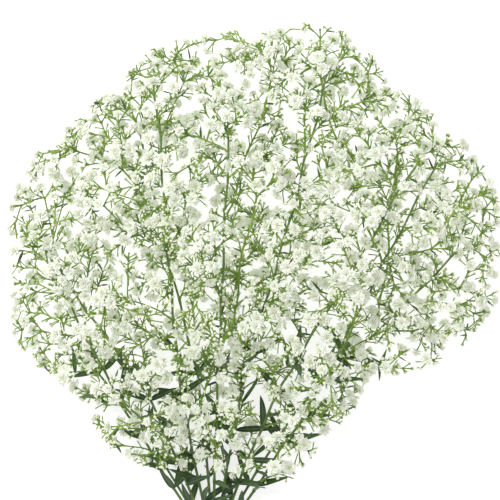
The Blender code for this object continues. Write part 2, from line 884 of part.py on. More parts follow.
def skin_band():
    """The elastic band: a flat strip that closes on itself round the stems."""
    skin = Skin()
    inner = band_outline(BAND_GAP)
    outer = band_outline(BAND_GAP + BAND_THICKNESS)
    rows = []
    for y, line in ((-0.5, inner), (-0.5, outer), (0.5, outer), (0.5, inner)):
        first = len(skin.points)
        for x, z in line:
            skin.points.append(Vector((x, BAND_Y + y * BAND_WIDTH, max(z, 0.0))))
        rows.append(list(range(first, first + len(line))))
    for k in range(4):
        low = rows[k]
        high = rows[(k + 1) % 4]
        for i in range(len(low)):
            j = (i + 1) % len(low)
            skin.faces.append((low[i], high[j], low[j]))
            skin.faces.append((low[i], high[i], high[j]))
    return skin


def settle(skins):
    """Presses the lowest points of the crown flat on the floor."""
    for skin in skins:
        for point in skin.points:
            if point.z < FOOT:
                point.z = 0.0


def middle_of(skins):
    low = [min(point[k] for skin in skins for point in skin.points) for k in range(2)]
    high = [max(point[k] for skin in skins for point in skin.points) for k in range(2)]
    return Vector(((low[0] + high[0]) / 2.0, (low[1] + high[1]) / 2.0, 0.0))


def stem_material():
    material = bpy.data.materials.new("stem_and_flower")
    material.use_nodes = True
    shader = material.node_tree.nodes["Principled BSDF"]
    shader.inputs["Base Color"].default_value = (0.55, 0.66, 0.42, 1.0)
    shader.inputs["Roughness"].default_value = 0.6
    return material


def band_material():
    material = bpy.data.materials.new("band_rubber")
    material.use_nodes = True
    shader = material.node_tree.nodes["Principled BSDF"]
    shader.inputs["Base Color"].default_value = (0.62, 0.45, 0.27, 1.0)
    shader.inputs["Roughness"].default_value = 0.7
    return material


def make_object(name, skin, shift, material):
    mesh = bpy.data.meshes.new(name)
    points = [(point - shift) * MM for point in skin.points]
    mesh.from_pydata(points, [], skin.faces)
    mesh.validate()
    mesh.materials.append(material)
    thing = bpy.data.objects.new(name, mesh)
    bpy.context.scene.collection.objects.link(thing)
    return thing


def build():
    for old in list(bpy.data.objects):
        bpy.data.objects.remove(old, do_unlink=True)
    plant = Plant(SEED)
    plant.grow()
    thin_out(plant)
    skins = [skin_stem(axis) for axis in plant.stems]
    settle(skins)
    skins.append(skin_band())
    shift = middle_of(skins)
    for number, skin in enumerate(skins[:-1]):
        make_object("stem_" + str(number + 1), skin, shift, stem_material())
    make_object("band", skins[-1], shift, band_material())


build()
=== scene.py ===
"""The looks of a cut bunch of baby's breath that lies on its side.

The bunch is grown again by the rules its solids were grown by, in millimetres. Each coarse stem
is replaced by fine pieces on the same shoots: branches, leaves, flowers and buds.
"""

import heapq
import json
import math
import random

import bpy
import numpy as np
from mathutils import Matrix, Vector

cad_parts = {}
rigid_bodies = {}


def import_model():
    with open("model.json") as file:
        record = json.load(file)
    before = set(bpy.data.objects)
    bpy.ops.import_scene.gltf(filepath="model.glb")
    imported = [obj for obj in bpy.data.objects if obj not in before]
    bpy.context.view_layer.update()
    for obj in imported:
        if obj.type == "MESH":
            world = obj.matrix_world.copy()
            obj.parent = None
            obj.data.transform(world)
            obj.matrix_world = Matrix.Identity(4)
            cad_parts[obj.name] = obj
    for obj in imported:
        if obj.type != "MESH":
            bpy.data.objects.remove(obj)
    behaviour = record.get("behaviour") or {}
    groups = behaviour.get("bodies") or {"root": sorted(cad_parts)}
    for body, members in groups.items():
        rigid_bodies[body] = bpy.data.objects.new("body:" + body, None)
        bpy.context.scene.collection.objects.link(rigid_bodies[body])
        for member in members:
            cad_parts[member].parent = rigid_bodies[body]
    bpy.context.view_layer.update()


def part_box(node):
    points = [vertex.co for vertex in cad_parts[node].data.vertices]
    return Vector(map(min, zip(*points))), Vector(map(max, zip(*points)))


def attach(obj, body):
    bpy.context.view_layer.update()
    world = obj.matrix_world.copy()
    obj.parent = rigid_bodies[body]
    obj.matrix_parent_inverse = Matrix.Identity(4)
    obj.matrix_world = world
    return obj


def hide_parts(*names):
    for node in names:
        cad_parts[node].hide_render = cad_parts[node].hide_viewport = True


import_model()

MM = 0.001
SEED = 41

# The bunch as a whole.
BAND_X = -32.0
BAND_Y = -62.0
TAIL_Y = -182.0
TAIL_SPREAD = 1.5
STEM_PITCH = 3.5
STEM_RADIUS = 1.4
STEM_TIP_RADIUS = 0.85
LOWEST_STEM_Z = 2.95

# The crown, as a reach from its middle that changes with the bearing.
CROWN_X = -4.0
CROWN_Y = 170.0
CROWN_REACH = 200.0
CROWN_WAVES = (
    (1, 41.4, 93.4),
    (2, 13.0, 43.3),
    (3, 12.9, 23.1),
    (4, 12.0, -0.6),
    (5, 3.3, -0.5),
    (9, 5.0, 30.0),
)
CROWN_HEIGHT = 125.0
CROWN_RIM_HEIGHT = 42.0
NECK_HEIGHT = 14.0
NECK_SLOPE = 0.72

# Where a search for room looks: its step, and the share of the crown it stays in.
LOOK_STEP = 5.0
LOOK_EDGE = 0.97
FAR_APART = 99.0
SEARCH_ROOM = 10.0
TINY = 1e-9

# Each stem: place across the band, row, lean where it leaves the band, lean in the crown, rise.
STEMS = (
    (-1.0, 0, -31.0, -45.0, 4.0),
    (0.0, 0, -5.0, -14.0, 3.5),
    (1.0, 0, 30.0, 46.0, 4.0),
    (-1.5, 1, -33.0, -27.0, 10.0),
    (-0.5, 1, -12.0, -4.0, 12.0),
    (0.5, 1, 9.0, 15.0, 11.0),
    (1.5, 1, 35.0, 27.0, 10.0),
    (-1.0, 2, -21.0, -35.0, 14.5),
    (0.0, 2, 1.0, 3.0, 17.0),
    (1.0, 2, 20.0, 31.0, 15.0),
)

# The course of a thick stem, counted along it from the band.
ROW_RISE = 0.87
BEND_FROM = 4.0
BEND_OVER = 30.0
LEAN_FROM = 110.0
LEAN_OVER = 90.0
STEM_STEP = 2.0
EDGE_FROM = 215.0
TOP_FROM = 150.0
TOP_ROOM = 30.0

# Side branches. The first of two reaches or lengths is for those of a thick stem, the other for later ones.
BRANCH_TRIES = 26
BRANCH_LOOK = (120.0, 75.0)
BRANCH_FIRST = ((16.0, 34.0), (12.0, 20.0))
BRANCH_ROOM = 26.0
BRANCH_LIFT = (0.0, 0.1, 0.06)
CENTRE_AHEAD = 26.0
CENTRE_ROOM = 14.0
LONG_REACH = 62.0
LATER_GAP = 0.86
LOW_GAP = 0.7
LOW_GAP_RISE = 0.3
LOW_GAP_FROM = 40.0
LOW_GAP_OVER = 90.0
CORE_GAP = 0.8
RIM_GAP = 0.34
ONWARD_TRIES = 14
ONWARD_TILT = (4.0, 18.0)
ONWARD_LENGTH = (18.0, 26.0)
ONWARD_LIFT = (0.0, 0.06, 0.04)
ONWARD_ROOM = 16.0

# Forks and what ends them. Each share of open flowers is for one level of a spray.
FORK_TRIES = 12
FORK_TILT = (26.0, 54.0)
MIDDLE_TRIES = 14
MIDDLE_TILT = (4.0, 24.0)
MIDDLE_LENGTH = (4.5, 9.0)
MIDDLE_STRETCH = 0.35
BLOOM_STALK = (7.0, 12.0)
LAST_STALK = (4.0, 8.0)
TWIG_EDGE = 0.99
TWIG_ABOVE = 3.0
HEAD_ABOVE = 6.0
OPEN_EDGE = 0.72
OPEN_INSIDE = (1.0, 0.97, 0.86)
OPEN_AT_RIM = (0.9, 0.72, 0.4)
AHEAD = 7.0

# Sprays that fill gaps: how far they may reach, their tilt, and where they stop short.
FILL_WIDE = (-220.0, 220.0)
FILL_LONG = (40.0, 400.0)
FILL_REACH = (30.0, 95.0)
FILL_TILT = (22.0, 68.0)
FILL_SHORT = 16.0
FILL_EDGE = 0.93

# Branching as a whole, and the ranks that say what grows first.
LEAF_NODES = (34.0, 54.0, 72.0)
FIRST_NODE = (80.0, 100.0)
NODE_STEP = (27.0, 38.0)
MAIN_END = 0.82
SIDE_TILT = (34.0, 52.0)
AXIS_RADIUS = 0.7
TWIG_RADIUS = 0.5
SPRAY_GAP = 60.0
DEPTH_SHARE = 0.55
FILL_GAP = 15.6
FILL_TRIES = 2500
SPRAY_STEPS = (15.0, 11.5, 8.0)
GAP = 0.45
NODE_ROOM = 3.2
HEAD_RISE = 0.55
FORK_SIDES = (12.0, 168.0)
OPPOSITE = (0.0, 180.0)
ONWARD = 270.0
FORK_RANK = 10.0
HEAD_KEY = 1000000
MOST_SHOOTS = 30000

# Flowers, buds and leaves.
BLOOM_RADIUS = (5.2, 6.6)
OPENING_RADIUS = (3.0, 3.8)
BUD_RADIUS = (1.5, 2.1)
OPENING_SHARE = 0.07
SECOND_BLOOM = 0.62
LEAF_LENGTH = (30.0, 46.0)
LEAF_HALF_WIDTH = 2.8
LEAF_STALK = 0.22
LEAF_TILT = (26.0, 86.0)
LEAF_TRIES = 60
LEAF_TURN = 0.45
BLADE_ROOM = 1.4
LEAF_GAP = 0.2
LEAF_TOP_Y = 125.0
LEAF_RADIUS = 0.6
BLADE_TAPER = 0.45
FLOWERS = ("bloom", "opening")

# The rubber band and its strand.
BAND_GAP = 0.35
BAND_STEPS = 20
STRAND_RADIUS = 0.58
STRAND_PITCH = 1.3
BACK_FROM = 0.86
BAND_TURNS = 3

# What the fine stems have more of.
FINE_GAP = 0.12
FINE_SPRAYS = 9000
GREEN_SHARE = 0.6
CORE_SHARE = 0.65
FINE_SPRAY_GAP = (9.0, 9.5)
SPRAY_LOW_Y = 8.0
LOW_SHARE = 0.3
LOW_TOP_Y = 105.0
HOST_LENGTH = 9.0
FINE_LONG = (25.0, 425.0)
FINE_EDGE = 0.985
FINE_REACH = (14.0, 60.0)
FINE_SHORT = 8.0
FAR_SPRAY = 26.0
FINE_LEAN = (0.42, 0.95)
FINE_HEAD_RISE = 0.7
FINE_TWIG = 0.42
FINE_STALK = 0.38
SMALL_BLOOM_RADIUS = (3.6, 5.0)
SMALL_OPENING_RADIUS = (2.2, 3.0)
FINE_TRIES = 6
FINE_BUD_RADIUS = (0.9, 1.8)
PARTNER_SHARE = 0.62
THREAD_SHARE = 0.95
THREAD_STEP = 3.5
THREAD_LENGTH = (5.0, 12.0)
THREAD_CORE = 1.25
THREAD_FALL = 0.95
THREAD_RADIUS = 0.3
LONGEST_BARE = 24.0
SPRIG_SHARE = 0.55
LEAF_CLEARANCE = 0.7
LONG_SPRIG = (16.0, 30.0)
SHORT_SPRIG = (6.0, 15.0)
SPRIG_SLENDER = (0.055, 0.085)

# Thickness of the stalks, from foot to end.
AXIS_STALK = (0.88, 0.7)
TWIG_STALK = (0.62, 0.52)
FLOWER_STALK = (0.54, 0.5)
BUD_STALK = (0.46, 0.42)
JOINT_SWELL = 0.35
NODE_SWELL = 0.32
NODE_LENGTH = 0.12
NODE_TO_NODE = (0.0, 0.05, 0.12, 0.3, 0.5, 0.7, 0.88, 0.95)
TAIL_TO_BAND = (0.0, 0.25, 0.5, 0.75)
SOFT_START = 0.55
TWIG_STEPS = 5
STALK_STEPS = 3
BRACT_LENGTH = (1.8, 3.2)
SMOOTH_STALK = 50.0

# Flowers, in flower radii. A ring of petals has a count, a starting angle, a curl, a length,
# a width and the height of its foot.
WHITE = 0
GREEN = 1
PETAL_OUTLINE = ((0.0, 0.0), (0.4, 0.94), (0.0, 0.8), (-0.4, 0.94))
PETAL_MIDDLE = 0.55
PETAL_THICKNESS = 0.07
FLOWER_FOOT = 0.06
BLOOM_FULLNESS = 1.12
BLOOM_FORMS = 7
OPENING_FORMS = 4
BLOOM_RINGS = (
    (8, 22.0, -70.0, 1.12, 0.86, 0.3),
    (7, 34.0, -46.0, 1.02, 0.84, 0.42),
    (6, 52.0, -42.0, 0.88, 0.84, 0.52),
    (4, 70.0, -30.0, 0.66, 0.95, 0.6),
)
OPENING_RINGS = (
    (7, 64.0, 10.0, 1.1, 1.15, 0.22),
    (5, 78.0, 12.0, 1.16, 1.0, 0.22),
)
OPENING_FULLNESS = 1.05

# Each calyx has the radius of its foot, the radius of its top and a height: for open flowers,
# for half open ones and for buds.
CALYX_SIZES = (
    (0.12, 0.4, 0.36),
    (0.16, 0.6, 0.74),
    (0.34, 0.98, 0.5),
)

# Leaf blades.
LEAF_THICKNESS = 0.35
LONG_BLADE = 15.0
LONG_BLADE_ROWS = 10
SHORT_BLADE_ROWS = 4

# Colours, and a painted glow on petals and buds, which stands in for the light that thin petals let through.
PETAL_PAINTED_GLOW = 0.11
PETAL_COLOUR = (0.88, 0.9, 0.81)
PETAL_CREAM = (0.84, 0.86, 0.72)
PETAL_FOOT_COLOUR = (0.6, 0.7, 0.4)
CALYX_COLOUR = (0.13, 0.25, 0.045)
CALYX_YELLOW = (0.25, 0.37, 0.08)
CALYX_MARGIN = (0.6, 0.68, 0.42)
BUD_GREEN = (0.38, 0.52, 0.17)
BUD_LIME = (0.6, 0.7, 0.33)
BUD_IVORY = (0.85, 0.88, 0.68)
STEM_COLOUR = (0.14, 0.235, 0.04)
STEM_WAX = (0.2, 0.3, 0.11)
STEM_STRAW = (0.42, 0.4, 0.2)
STEM_DEEP = (0.06, 0.12, 0.025)
TWIG_COLOUR = (0.16, 0.285, 0.025)
TWIG_LIME = (0.3, 0.45, 0.05)
PITH_COLOUR = (0.68, 0.7, 0.48)
PITH_DARK = (0.42, 0.46, 0.25)
LEAF_COLOUR = (0.022, 0.054, 0.02)
LEAF_FRESH = (0.08, 0.165, 0.035)
LEAF_WAX = (0.07, 0.13, 0.065)
LEAF_RIB = (0.18, 0.28, 0.09)
RUBBER_COLOUR = (0.5, 0.33, 0.16)
RUBBER_DUST = (0.62, 0.48, 0.3)
FLOOR_COLOUR = (0.55, 0.55, 0.545)

# The studio, in metres but for what the camera takes in, which is in the bunch's own millimetres.
FLOOR_SIZE = 12.0
FLOOR_DROP = 0.0002
FLOOR_GLOW = 0.7
SKY_STRENGTH = 0.46
LIGHTS = (
    ("light_key", (-1.0, 0.9, 2.1), 1.0, 35.0),
    ("light_fill", (1.4, -0.9, 1.8), 2.0, 8.0),
)
SENSOR = 36.0
VIEW_X = 0.0
VIEW_Y = 212.5
VIEW_WIDTH = 425.0
VIEW_HEIGHT = 80.0
VIEW_DISTANCE = 2.2


def between(rng, pair):
    return rng.uniform(pair[0], pair[1])


def heading(lean, rise):
    """The direction that leans from +Y towards +X by one angle and rises from level by the other."""
    lean = math.radians(lean)
    rise = math.radians(rise)
    flat = math.cos(rise)
    return Vector((math.sin(lean) * flat, math.cos(lean) * flat, math.sin(rise)))


def square_to(direction, hint):
    """The unit vector square to a direction that lies nearest to a hint."""
    side = hint - direction * hint.dot(direction)
    if side.length < 1e-4:
        side = direction.orthogonal()
    return side.normalized()


def tilted(direction, side, tilt, bearing):
    """A direction tilted away from another one, on a bearing counted round it from its side vector."""
    tilt = math.radians(tilt)
    bearing = math.radians(bearing)
    other = direction.cross(side)
    out = side * math.cos(bearing) + other * math.sin(bearing)
    return (direction * math.cos(tilt) + out * math.sin(tilt)).normalized()


def crown_share(point):
    """How far out a point lies in plan: 0 at the middle of the crown and 1 at its outline."""
    dx = point.x - CROWN_X
    dy = point.y - CROWN_Y
    bearing = math.atan2(dy, dx)
    reach = CROWN_REACH
    for times, height, phase in CROWN_WAVES:
        reach += height * math.cos(times * (bearing - math.radians(phase)))
    return math.hypot(dx, dy) / reach


def crown_top(point):
    """The height of the crown over a point of the floor."""
    share = min(crown_share(point), 1.0)
    dome = CROWN_RIM_HEIGHT + CROWN_HEIGHT * math.sqrt(1.0 - share * share)
    away = math.hypot(point.x - BAND_X, point.y - BAND_Y)
    return min(dome, NECK_HEIGHT + NECK_SLOPE * away)


def in_crown(point, limit):
    return point.z > 0.0 and crown_share(point) < limit and point.z < crown_top(point)


def room_ahead(point, direction, most):
    """How far one can go from a point before leaving the crown."""
    far = 0.0
    while far < most and in_crown(point + direction * (far + LOOK_STEP), LOOK_EDGE):
        far += LOOK_STEP
    return far


def blade_lines(a, b, hint):
    """The middle lines of the two halves of a leaf's blade."""
    direction = (b - a).normalized()
    across = square_to(direction, hint).cross(direction)
    foot = a.lerp(b, LEAF_STALK)
    wide = LEAF_HALF_WIDTH * 0.5
    return [(foot + across * wide * s, b + across * wide * BLADE_TAPER * s) for s in (-1.0, 1.0)]


class Space:
    """All the room that is taken so far, as capsules."""

    def __init__(self):
        self.count = 0
        self.start = np.zeros((MOST_SHOOTS, 3))
        self.along = np.zeros((MOST_SHOOTS, 3))
        self.size = np.zeros(MOST_SHOOTS)
        self.square = np.zeros(MOST_SHOOTS)
        self.low = np.zeros((3, MOST_SHOOTS))
        self.high = np.zeros((3, MOST_SHOOTS))
        self.index = {}

    def add(self, a, b, radius, owner):
        k = self.count
        self.start[k] = a
        self.along[k] = b - a
        self.size[k] = radius
        self.square[k] = max((b - a).length_squared, TINY)
        self.low[:, k] = np.minimum(a, b)
        self.high[:, k] = np.maximum(a, b)
        self.index[owner] = k
        self.count += 1

    def gap(self, a, b, radius, skip=(), only=None):
        """The smallest gap between a capsule and what is there, leaving out the skipped owners."""
        n = self.count
        if n == 0:
            return FAR_APART
        if only is None:
            low = np.minimum(a, b) - radius - SEARCH_ROOM
            high = np.maximum(a, b) + radius + SEARCH_ROOM
            x, y, z = self.low[:, :n]
            pick = (x < high[0]) & (y < high[1]) & (z < high[2])
            x, y, z = self.high[:, :n]
            pick &= (x > low[0]) & (y > low[1]) & (z > low[2])
            for owner in skip:
                pick[self.index[owner]] = False
            where = np.nonzero(pick)[0]
        else:
            where = np.array([self.index[owner] for owner in only])
        if len(where) == 0:
            return FAR_APART
        d1 = np.array(b - a)
        d2 = self.along[where]
        r = np.array(a) - self.start[where]
        aa = max(float(d1 @ d1), TINY)
        ee = self.square[where]
        c = r @ d1
        f = np.einsum("ij,ij->i", d2, r)
        bb = d2 @ d1
        low_part = aa * ee - bb * bb
        s = np.where(low_part > TINY, (bb * f - c * ee) / np.maximum(low_part, TINY), 0.0)
        s = np.clip(s, 0.0, 1.0)
        t = np.clip((bb * s + f) / ee, 0.0, 1.0)
        s = np.clip((bb * t - c) / aa, 0.0, 1.0)
        apart = r + s[:, None] * d1 - t[:, None] * d2
        gaps = np.sqrt(np.einsum("ij,ij->i", apart, apart)) - self.size[where] - radius
        return float(gaps.min())


class Shoot:
    """One straight length of the plant from a to b, with what grows from its end."""

    def __init__(self, kind, a, b, radius, side, stem):
        self.kind = kind
        self.a = a
        self.b = b
        self.radius = radius
        self.direction = (b - a).normalized()
        self.side = square_to(self.direction, side)
        self.stem = stem
        self.kids = []
        self.size = 0.0
        self.number = 0
        self.parent = None


class Plant:
    """Grows the whole bunch, one shoot at a time, into free room only."""

    def __init__(self, seed):
        self.rng = random.Random(seed)
        self.space = Space()
        self.stems = []
        self.shoots = []
        self.centres = []
        self.tasks = []
        self.turn = 0
        self.room = GAP
        self.flower_sizes = BLOOM_RADIUS
        self.opening_sizes = OPENING_RADIUS
        self.bud_sizes = BUD_RADIUS
        self.stalk = TWIG_RADIUS

    def place(self, shoot, parent=None):
        """Adds a shoot to the plant and to the room that is taken, and returns it."""
        shoot.number = len(self.shoots)
        self.shoots.append(shoot)
        if parent is not None:
            parent.kids.append(shoot)
            shoot.parent = parent
        if shoot.kind == "leaf":
            foot = shoot.a.lerp(shoot.b, LEAF_STALK)
            self.space.add(shoot.a, foot, LEAF_RADIUS, shoot.number)
            for half, (low, high) in enumerate(blade_lines(shoot.a, shoot.b, shoot.side)):
                self.space.add(low, high, BLADE_ROOM, (half + 1) * HEAD_KEY + shoot.number)
            return shoot
        self.space.add(shoot.a, shoot.b, shoot.radius, shoot.number)
        if shoot.size > 0.0:
            middle = shoot.b + shoot.direction * (shoot.size * HEAD_RISE)
            self.space.add(middle, middle, shoot.size, HEAD_KEY + shoot.number)
        return shoot

    def fits(self, a, b, radius, size, near, room=None):
        """Whether a twig from a to b, with a head of a size, has room; near ones share its node."""
        room = self.room if room is None else room
        if b.z < radius + 0.1:
            return False
        if self.space.gap(a, b, radius, near) < room:
            return False
        length = (b - a).length
        start = a + (b - a) * min(0.5, NODE_ROOM / length)
        if self.space.gap(start, b, radius, (), near) < room:
            return False
        if size > 0.0:
            direction = (b - a) / length
            middle = b + direction * (size * HEAD_RISE)
            if middle.z < size + 0.05 or middle.z > crown_top(middle) + HEAD_ABOVE:
                return False
            out = (middle - Vector((CROWN_X, CROWN_Y, middle.z))).normalized()
            if crown_share(middle + out * size) > 1.0:
                return False
            if self.space.gap(middle, middle, size, ()) < room:
                return False
        return True

    def later(self, rank, task):
        """Puts a task by; those of a low rank come first."""
        self.turn += 1
        heapq.heappush(self.tasks, (rank + self.rng.random(), self.turn, task))

    def crowded(self, centre, apart):
        """Whether another spray is too near; a gap in height counts for less."""
        for other in self.centres:
            gap = other - centre
            if math.sqrt(gap.x * gap.x + gap.y * gap.y + DEPTH_SHARE * gap.z * gap.z) < apart:
                return True
        return False

    def main_stem(self, number, plan):
        """A thick stem: tail, band, bend and then nodes out to near the edge of the crown."""
        rng = self.rng
        across, row, lean_low, lean_high, rise = plan
        z = LOWEST_STEM_Z + row * STEM_PITCH * ROW_RISE
        x = BAND_X + across * STEM_PITCH
        tail_y = TAIL_Y + rng.uniform(-7.0, 7.0)
        tail_z = max(LOWEST_STEM_Z - 1.6, z + (row - 1) * STEM_PITCH * 0.35)
        tail = Vector((BAND_X + across * STEM_PITCH * TAIL_SPREAD, tail_y, tail_z))
        points = [(tail, "")]
        points.append((Vector((x, BAND_Y - 12.0, z)), ""))
        points.append((Vector((x, BAND_Y + 7.0, z)), ""))
        p = points[-1][0].copy()
        far = 7.0
        marks = [(20.0, "")] + [(at + rng.uniform(-4.0, 4.0), "leaves") for at in LEAF_NODES]
        node = between(rng, FIRST_NODE)
        wag = 1.0 if rng.random() < 0.5 else -1.0
        sway = 0.0
        while True:
            ease = min(1.0, (far - BEND_FROM) / BEND_OVER)
            mix = min(1.0, max(0.0, (far - LEAN_FROM) / LEAN_OVER))
            lean = (lean_low * (1.0 - mix) + lean_high * mix) * ease + sway
            p = p + heading(lean, rise * ease) * STEM_STEP
            far += STEM_STEP
            if marks and far >= marks[0][0]:
                points.append((p.copy(), marks.pop(0)[1]))
            at_edge = far > EDGE_FROM and crown_share(p) > MAIN_END
            if far >= node or at_edge:
                points.append((p.copy(), "branches"))
                if at_edge:
                    break
                if p.z > crown_top(p) - TOP_ROOM and far > TOP_FROM:
                    break
                node = far + between(rng, NODE_STEP)
                wag = -wag
                sway = wag * rng.uniform(1.5, 4.5)
        axis = []
        steps = len(points) - 1
        ahead = heading(lean_low, rise)
        side = tilted(ahead, square_to(ahead, Vector((0, 0, 1))), 90.0, rng.uniform(0, 360))
        parent = None
        for k in range(steps):
            share = k / max(1, steps - 1)
            radius = STEM_RADIUS + (STEM_TIP_RADIUS - STEM_RADIUS) * share
            if points[k + 1][1]:
                side = ahead.cross(side)
            parent = self.place(Shoot("axis", points[k][0], points[k + 1][0], radius, side, number), parent)
            axis.append((parent, points[k + 1][1]))
        self.stems.append(axis)
        last = axis[-1][0]
        self.centres.append(last.b + last.direction * 24.0)

    def leaf(self, parent, bearing, near, length):
        """A narrow leaf that arches out from a node."""
        rng = self.rng
        for attempt in range(LEAF_TRIES):
            at = bearing + rng.uniform(-34.0, 34.0)
            d = tilted(parent.direction, parent.side, between(rng, LEAF_TILT), at)
            b = parent.b + d * length
            if b.z < 3.0 or crown_share(b) > LOOK_EDGE:
                continue
            if not self.fits(parent.b, b, LEAF_RADIUS, 0.0, near, LEAF_RADIUS):
                continue
            face = parent.direction * LEAF_TURN + Vector((0.0, 0.0, 1.0))
            halves = blade_lines(parent.b, b, face)
            gaps = [self.space.gap(low, high, BLADE_ROOM, (parent.number,)) for low, high in halves]
            if min(gaps) < LEAF_GAP:
                continue
            shoot = Shoot("leaf", parent.b, b, LEAF_RADIUS, face, parent.stem)
            shoot.size = length
            return self.place(shoot, parent)
        return None

    def start_node(self, parent, rank):
        """Leaves and side branches at a node of a thick stem."""
        rng = self.rng
        near = [parent.number] + [kid.number for kid in parent.kids]
        for bearing in OPPOSITE:
            self.later(rank, ("side", parent, bearing, 1))
        length = between(rng, LEAF_LENGTH)
        if parent.b.y < LEAF_TOP_Y:
            for bearing in OPPOSITE:
                leaf = self.leaf(parent, bearing, near, length * rng.uniform(0.85, 1.0))
                if leaf is not None:
                    near.append(leaf.number)

    def leaf_node(self, parent):
        """A node low on a thick stem, with leaves all round it and no branches."""
        near = [parent.number] + [kid.number for kid in parent.kids]
        for bearing in (0.0, 120.0, 240.0):
            leaf = self.leaf(parent, bearing, near, between(self.rng, LEAF_LENGTH))
            if leaf is not None:
                near.append(leaf.number)

    def side_branch(self, parent, bearing, order):
        """A side branch that heads for the emptiest room it can reach."""
        rng = self.rng
        near = [parent.number] + [kid.number for kid in parent.kids]
        best = None
        late = 0 if order == 1 else 1
        for attempt in range(BRANCH_TRIES):
            tilt = between(rng, SIDE_TILT)
            at = bearing + rng.uniform(-26.0, 26.0)
            d = tilted(parent.direction, parent.side, tilt, at)
            d = (d + Vector(BRANCH_LIFT)).normalized()
            reach = room_ahead(parent.b, d, BRANCH_LOOK[late])
            if reach < BRANCH_ROOM:
                continue
            first = min(between(rng, BRANCH_FIRST[late]), reach * 0.45)
            centre = parent.b + d * min(reach - CENTRE_ROOM, first + CENTRE_AHEAD)
            up = min(1.0, max(0.0, (centre.y - LOW_GAP_FROM) / LOW_GAP_OVER))
            apart = SPRAY_GAP * (LATER_GAP if late else 1.0)
            apart *= LOW_GAP + LOW_GAP_RISE * up
            apart *= CORE_GAP + RIM_GAP * crown_share(centre)
            if self.crowded(centre, apart):
                continue
            gaps = [math.hypot(other.x - centre.x, other.y - centre.y) for other in self.centres]
            score = min(gaps + [70.0]) + rng.uniform(0.0, 8.0)
            if best is None or score > best[0]:
                if self.fits(parent.b, parent.b + d * first, AXIS_RADIUS, 0.0, near):
                    best = (score, d, first, reach, centre)
        if best is None:
            return
        score, d, first, reach, centre = best
        shoot = Shoot("twig", parent.b, parent.b + d * first, AXIS_RADIUS, parent.side, parent.stem)
        shoot.side = square_to(d, d.cross(parent.direction))
        self.place(shoot, parent)
        self.centres.append(centre)
        left = reach - first
        if left > LONG_REACH and order < 3:
            self.later(order + 0.6, ("node", shoot, order))
        else:
            self.later(FORK_RANK, ("fork", shoot, 0))

    def side_node(self, parent, order):
        """A node part way along a side branch: the branch goes on and two more leave it."""
        rng = self.rng
        near = [parent.number]
        placed = None
        for attempt in range(ONWARD_TRIES):
            tilt = between(rng, ONWARD_TILT)
            d = tilted(parent.direction, parent.side, tilt, ONWARD + rng.uniform(-35.0, 35.0))
            d = (d + Vector(ONWARD_LIFT)).normalized()
            step = between(rng, ONWARD_LENGTH)
            if room_ahead(parent.b, d, 80.0) < step + ONWARD_ROOM:
                continue
            if self.fits(parent.b, parent.b + d * step, AXIS_RADIUS, 0.0, near):
                placed = Shoot("twig", parent.b, parent.b + d * step, AXIS_RADIUS, parent.side, parent.stem)
                placed.side = square_to(d, parent.direction.cross(parent.side))
                self.place(placed, parent)
                self.centres.append(placed.b + d * CENTRE_ROOM)
                break
        for bearing in FORK_SIDES:
            self.later(order + 1.2, ("side", parent, bearing, order + 1))
        if placed is not None:
            if room_ahead(placed.b, placed.direction, 90.0) > LONG_REACH:
                self.later(order + 1.8, ("node", placed, order))
            else:
                self.later(FORK_RANK, ("fork", placed, 0))

    def fork(self, parent, level):
        """A fork of a spray: a flower in the middle and a twig to either side."""
        rng = self.rng
        near = [parent.number] + [kid.number for kid in parent.kids]
        edge = crown_share(parent.b)
        last = level + 1 == len(SPRAY_STEPS)
        for bearing in FORK_SIDES:
            kind, size, best = "twig", 0.0, None
            if last and rng.random() < SECOND_BLOOM * (1.0 if edge < 0.8 else 0.5):
                kind, size = "bloom", between(rng, self.flower_sizes) * 0.95
                best = self.place_to_grow(parent, bearing, BLOOM_STALK, size, near)
            if best is None:
                if last:
                    kind, size = self.last_head()
                    best = self.place_to_grow(parent, bearing, LAST_STALK, size, near)
                else:
                    steps = (SPRAY_STEPS[level] * 0.75, SPRAY_STEPS[level] * 1.25)
                    best = self.place_to_grow(parent, bearing, steps, 0.0, near)
            if best is None:
                continue
            score, d, b = best
            shoot = Shoot(kind, parent.b, b, self.stalk, parent.side, parent.stem)
            shoot.size = size
            shoot.side = square_to(d, d.cross(parent.direction))
            self.place(shoot, parent)
            near.append(shoot.number)
            if not last:
                self.later(FORK_RANK + 1.0 + level, ("fork", shoot, level + 1))
        self.middle_flower(parent, level, near, edge)

    def place_to_grow(self, parent, bearing, steps, size, near):
        """The roomiest of a dozen ways for a twig to leave a fork on one side, or None."""
        rng = self.rng
        best = None
        for attempt in range(FORK_TRIES):
            at = bearing + rng.uniform(-24.0, 24.0)
            d = tilted(parent.direction, parent.side, between(rng, FORK_TILT), at)
            b = parent.b + d * between(rng, steps)
            if crown_share(b) > TWIG_EDGE or b.z > crown_top(b) + TWIG_ABOVE:
                continue
            if not self.fits(parent.b, b, self.stalk, size, near):
                continue
            ahead = b + d * AHEAD
            score = min(self.space.gap(ahead, ahead, 0.0), 9.0) + rng.random() * 2.0
            if best is None or score > best[0]:
                best = (score, d, b)
        return best

    def last_head(self):
        """What ends a twig that forks no more."""
        rng = self.rng
        if rng.random() < OPENING_SHARE:
            return "opening", between(rng, self.opening_sizes)
        return "bud", between(rng, self.bud_sizes)

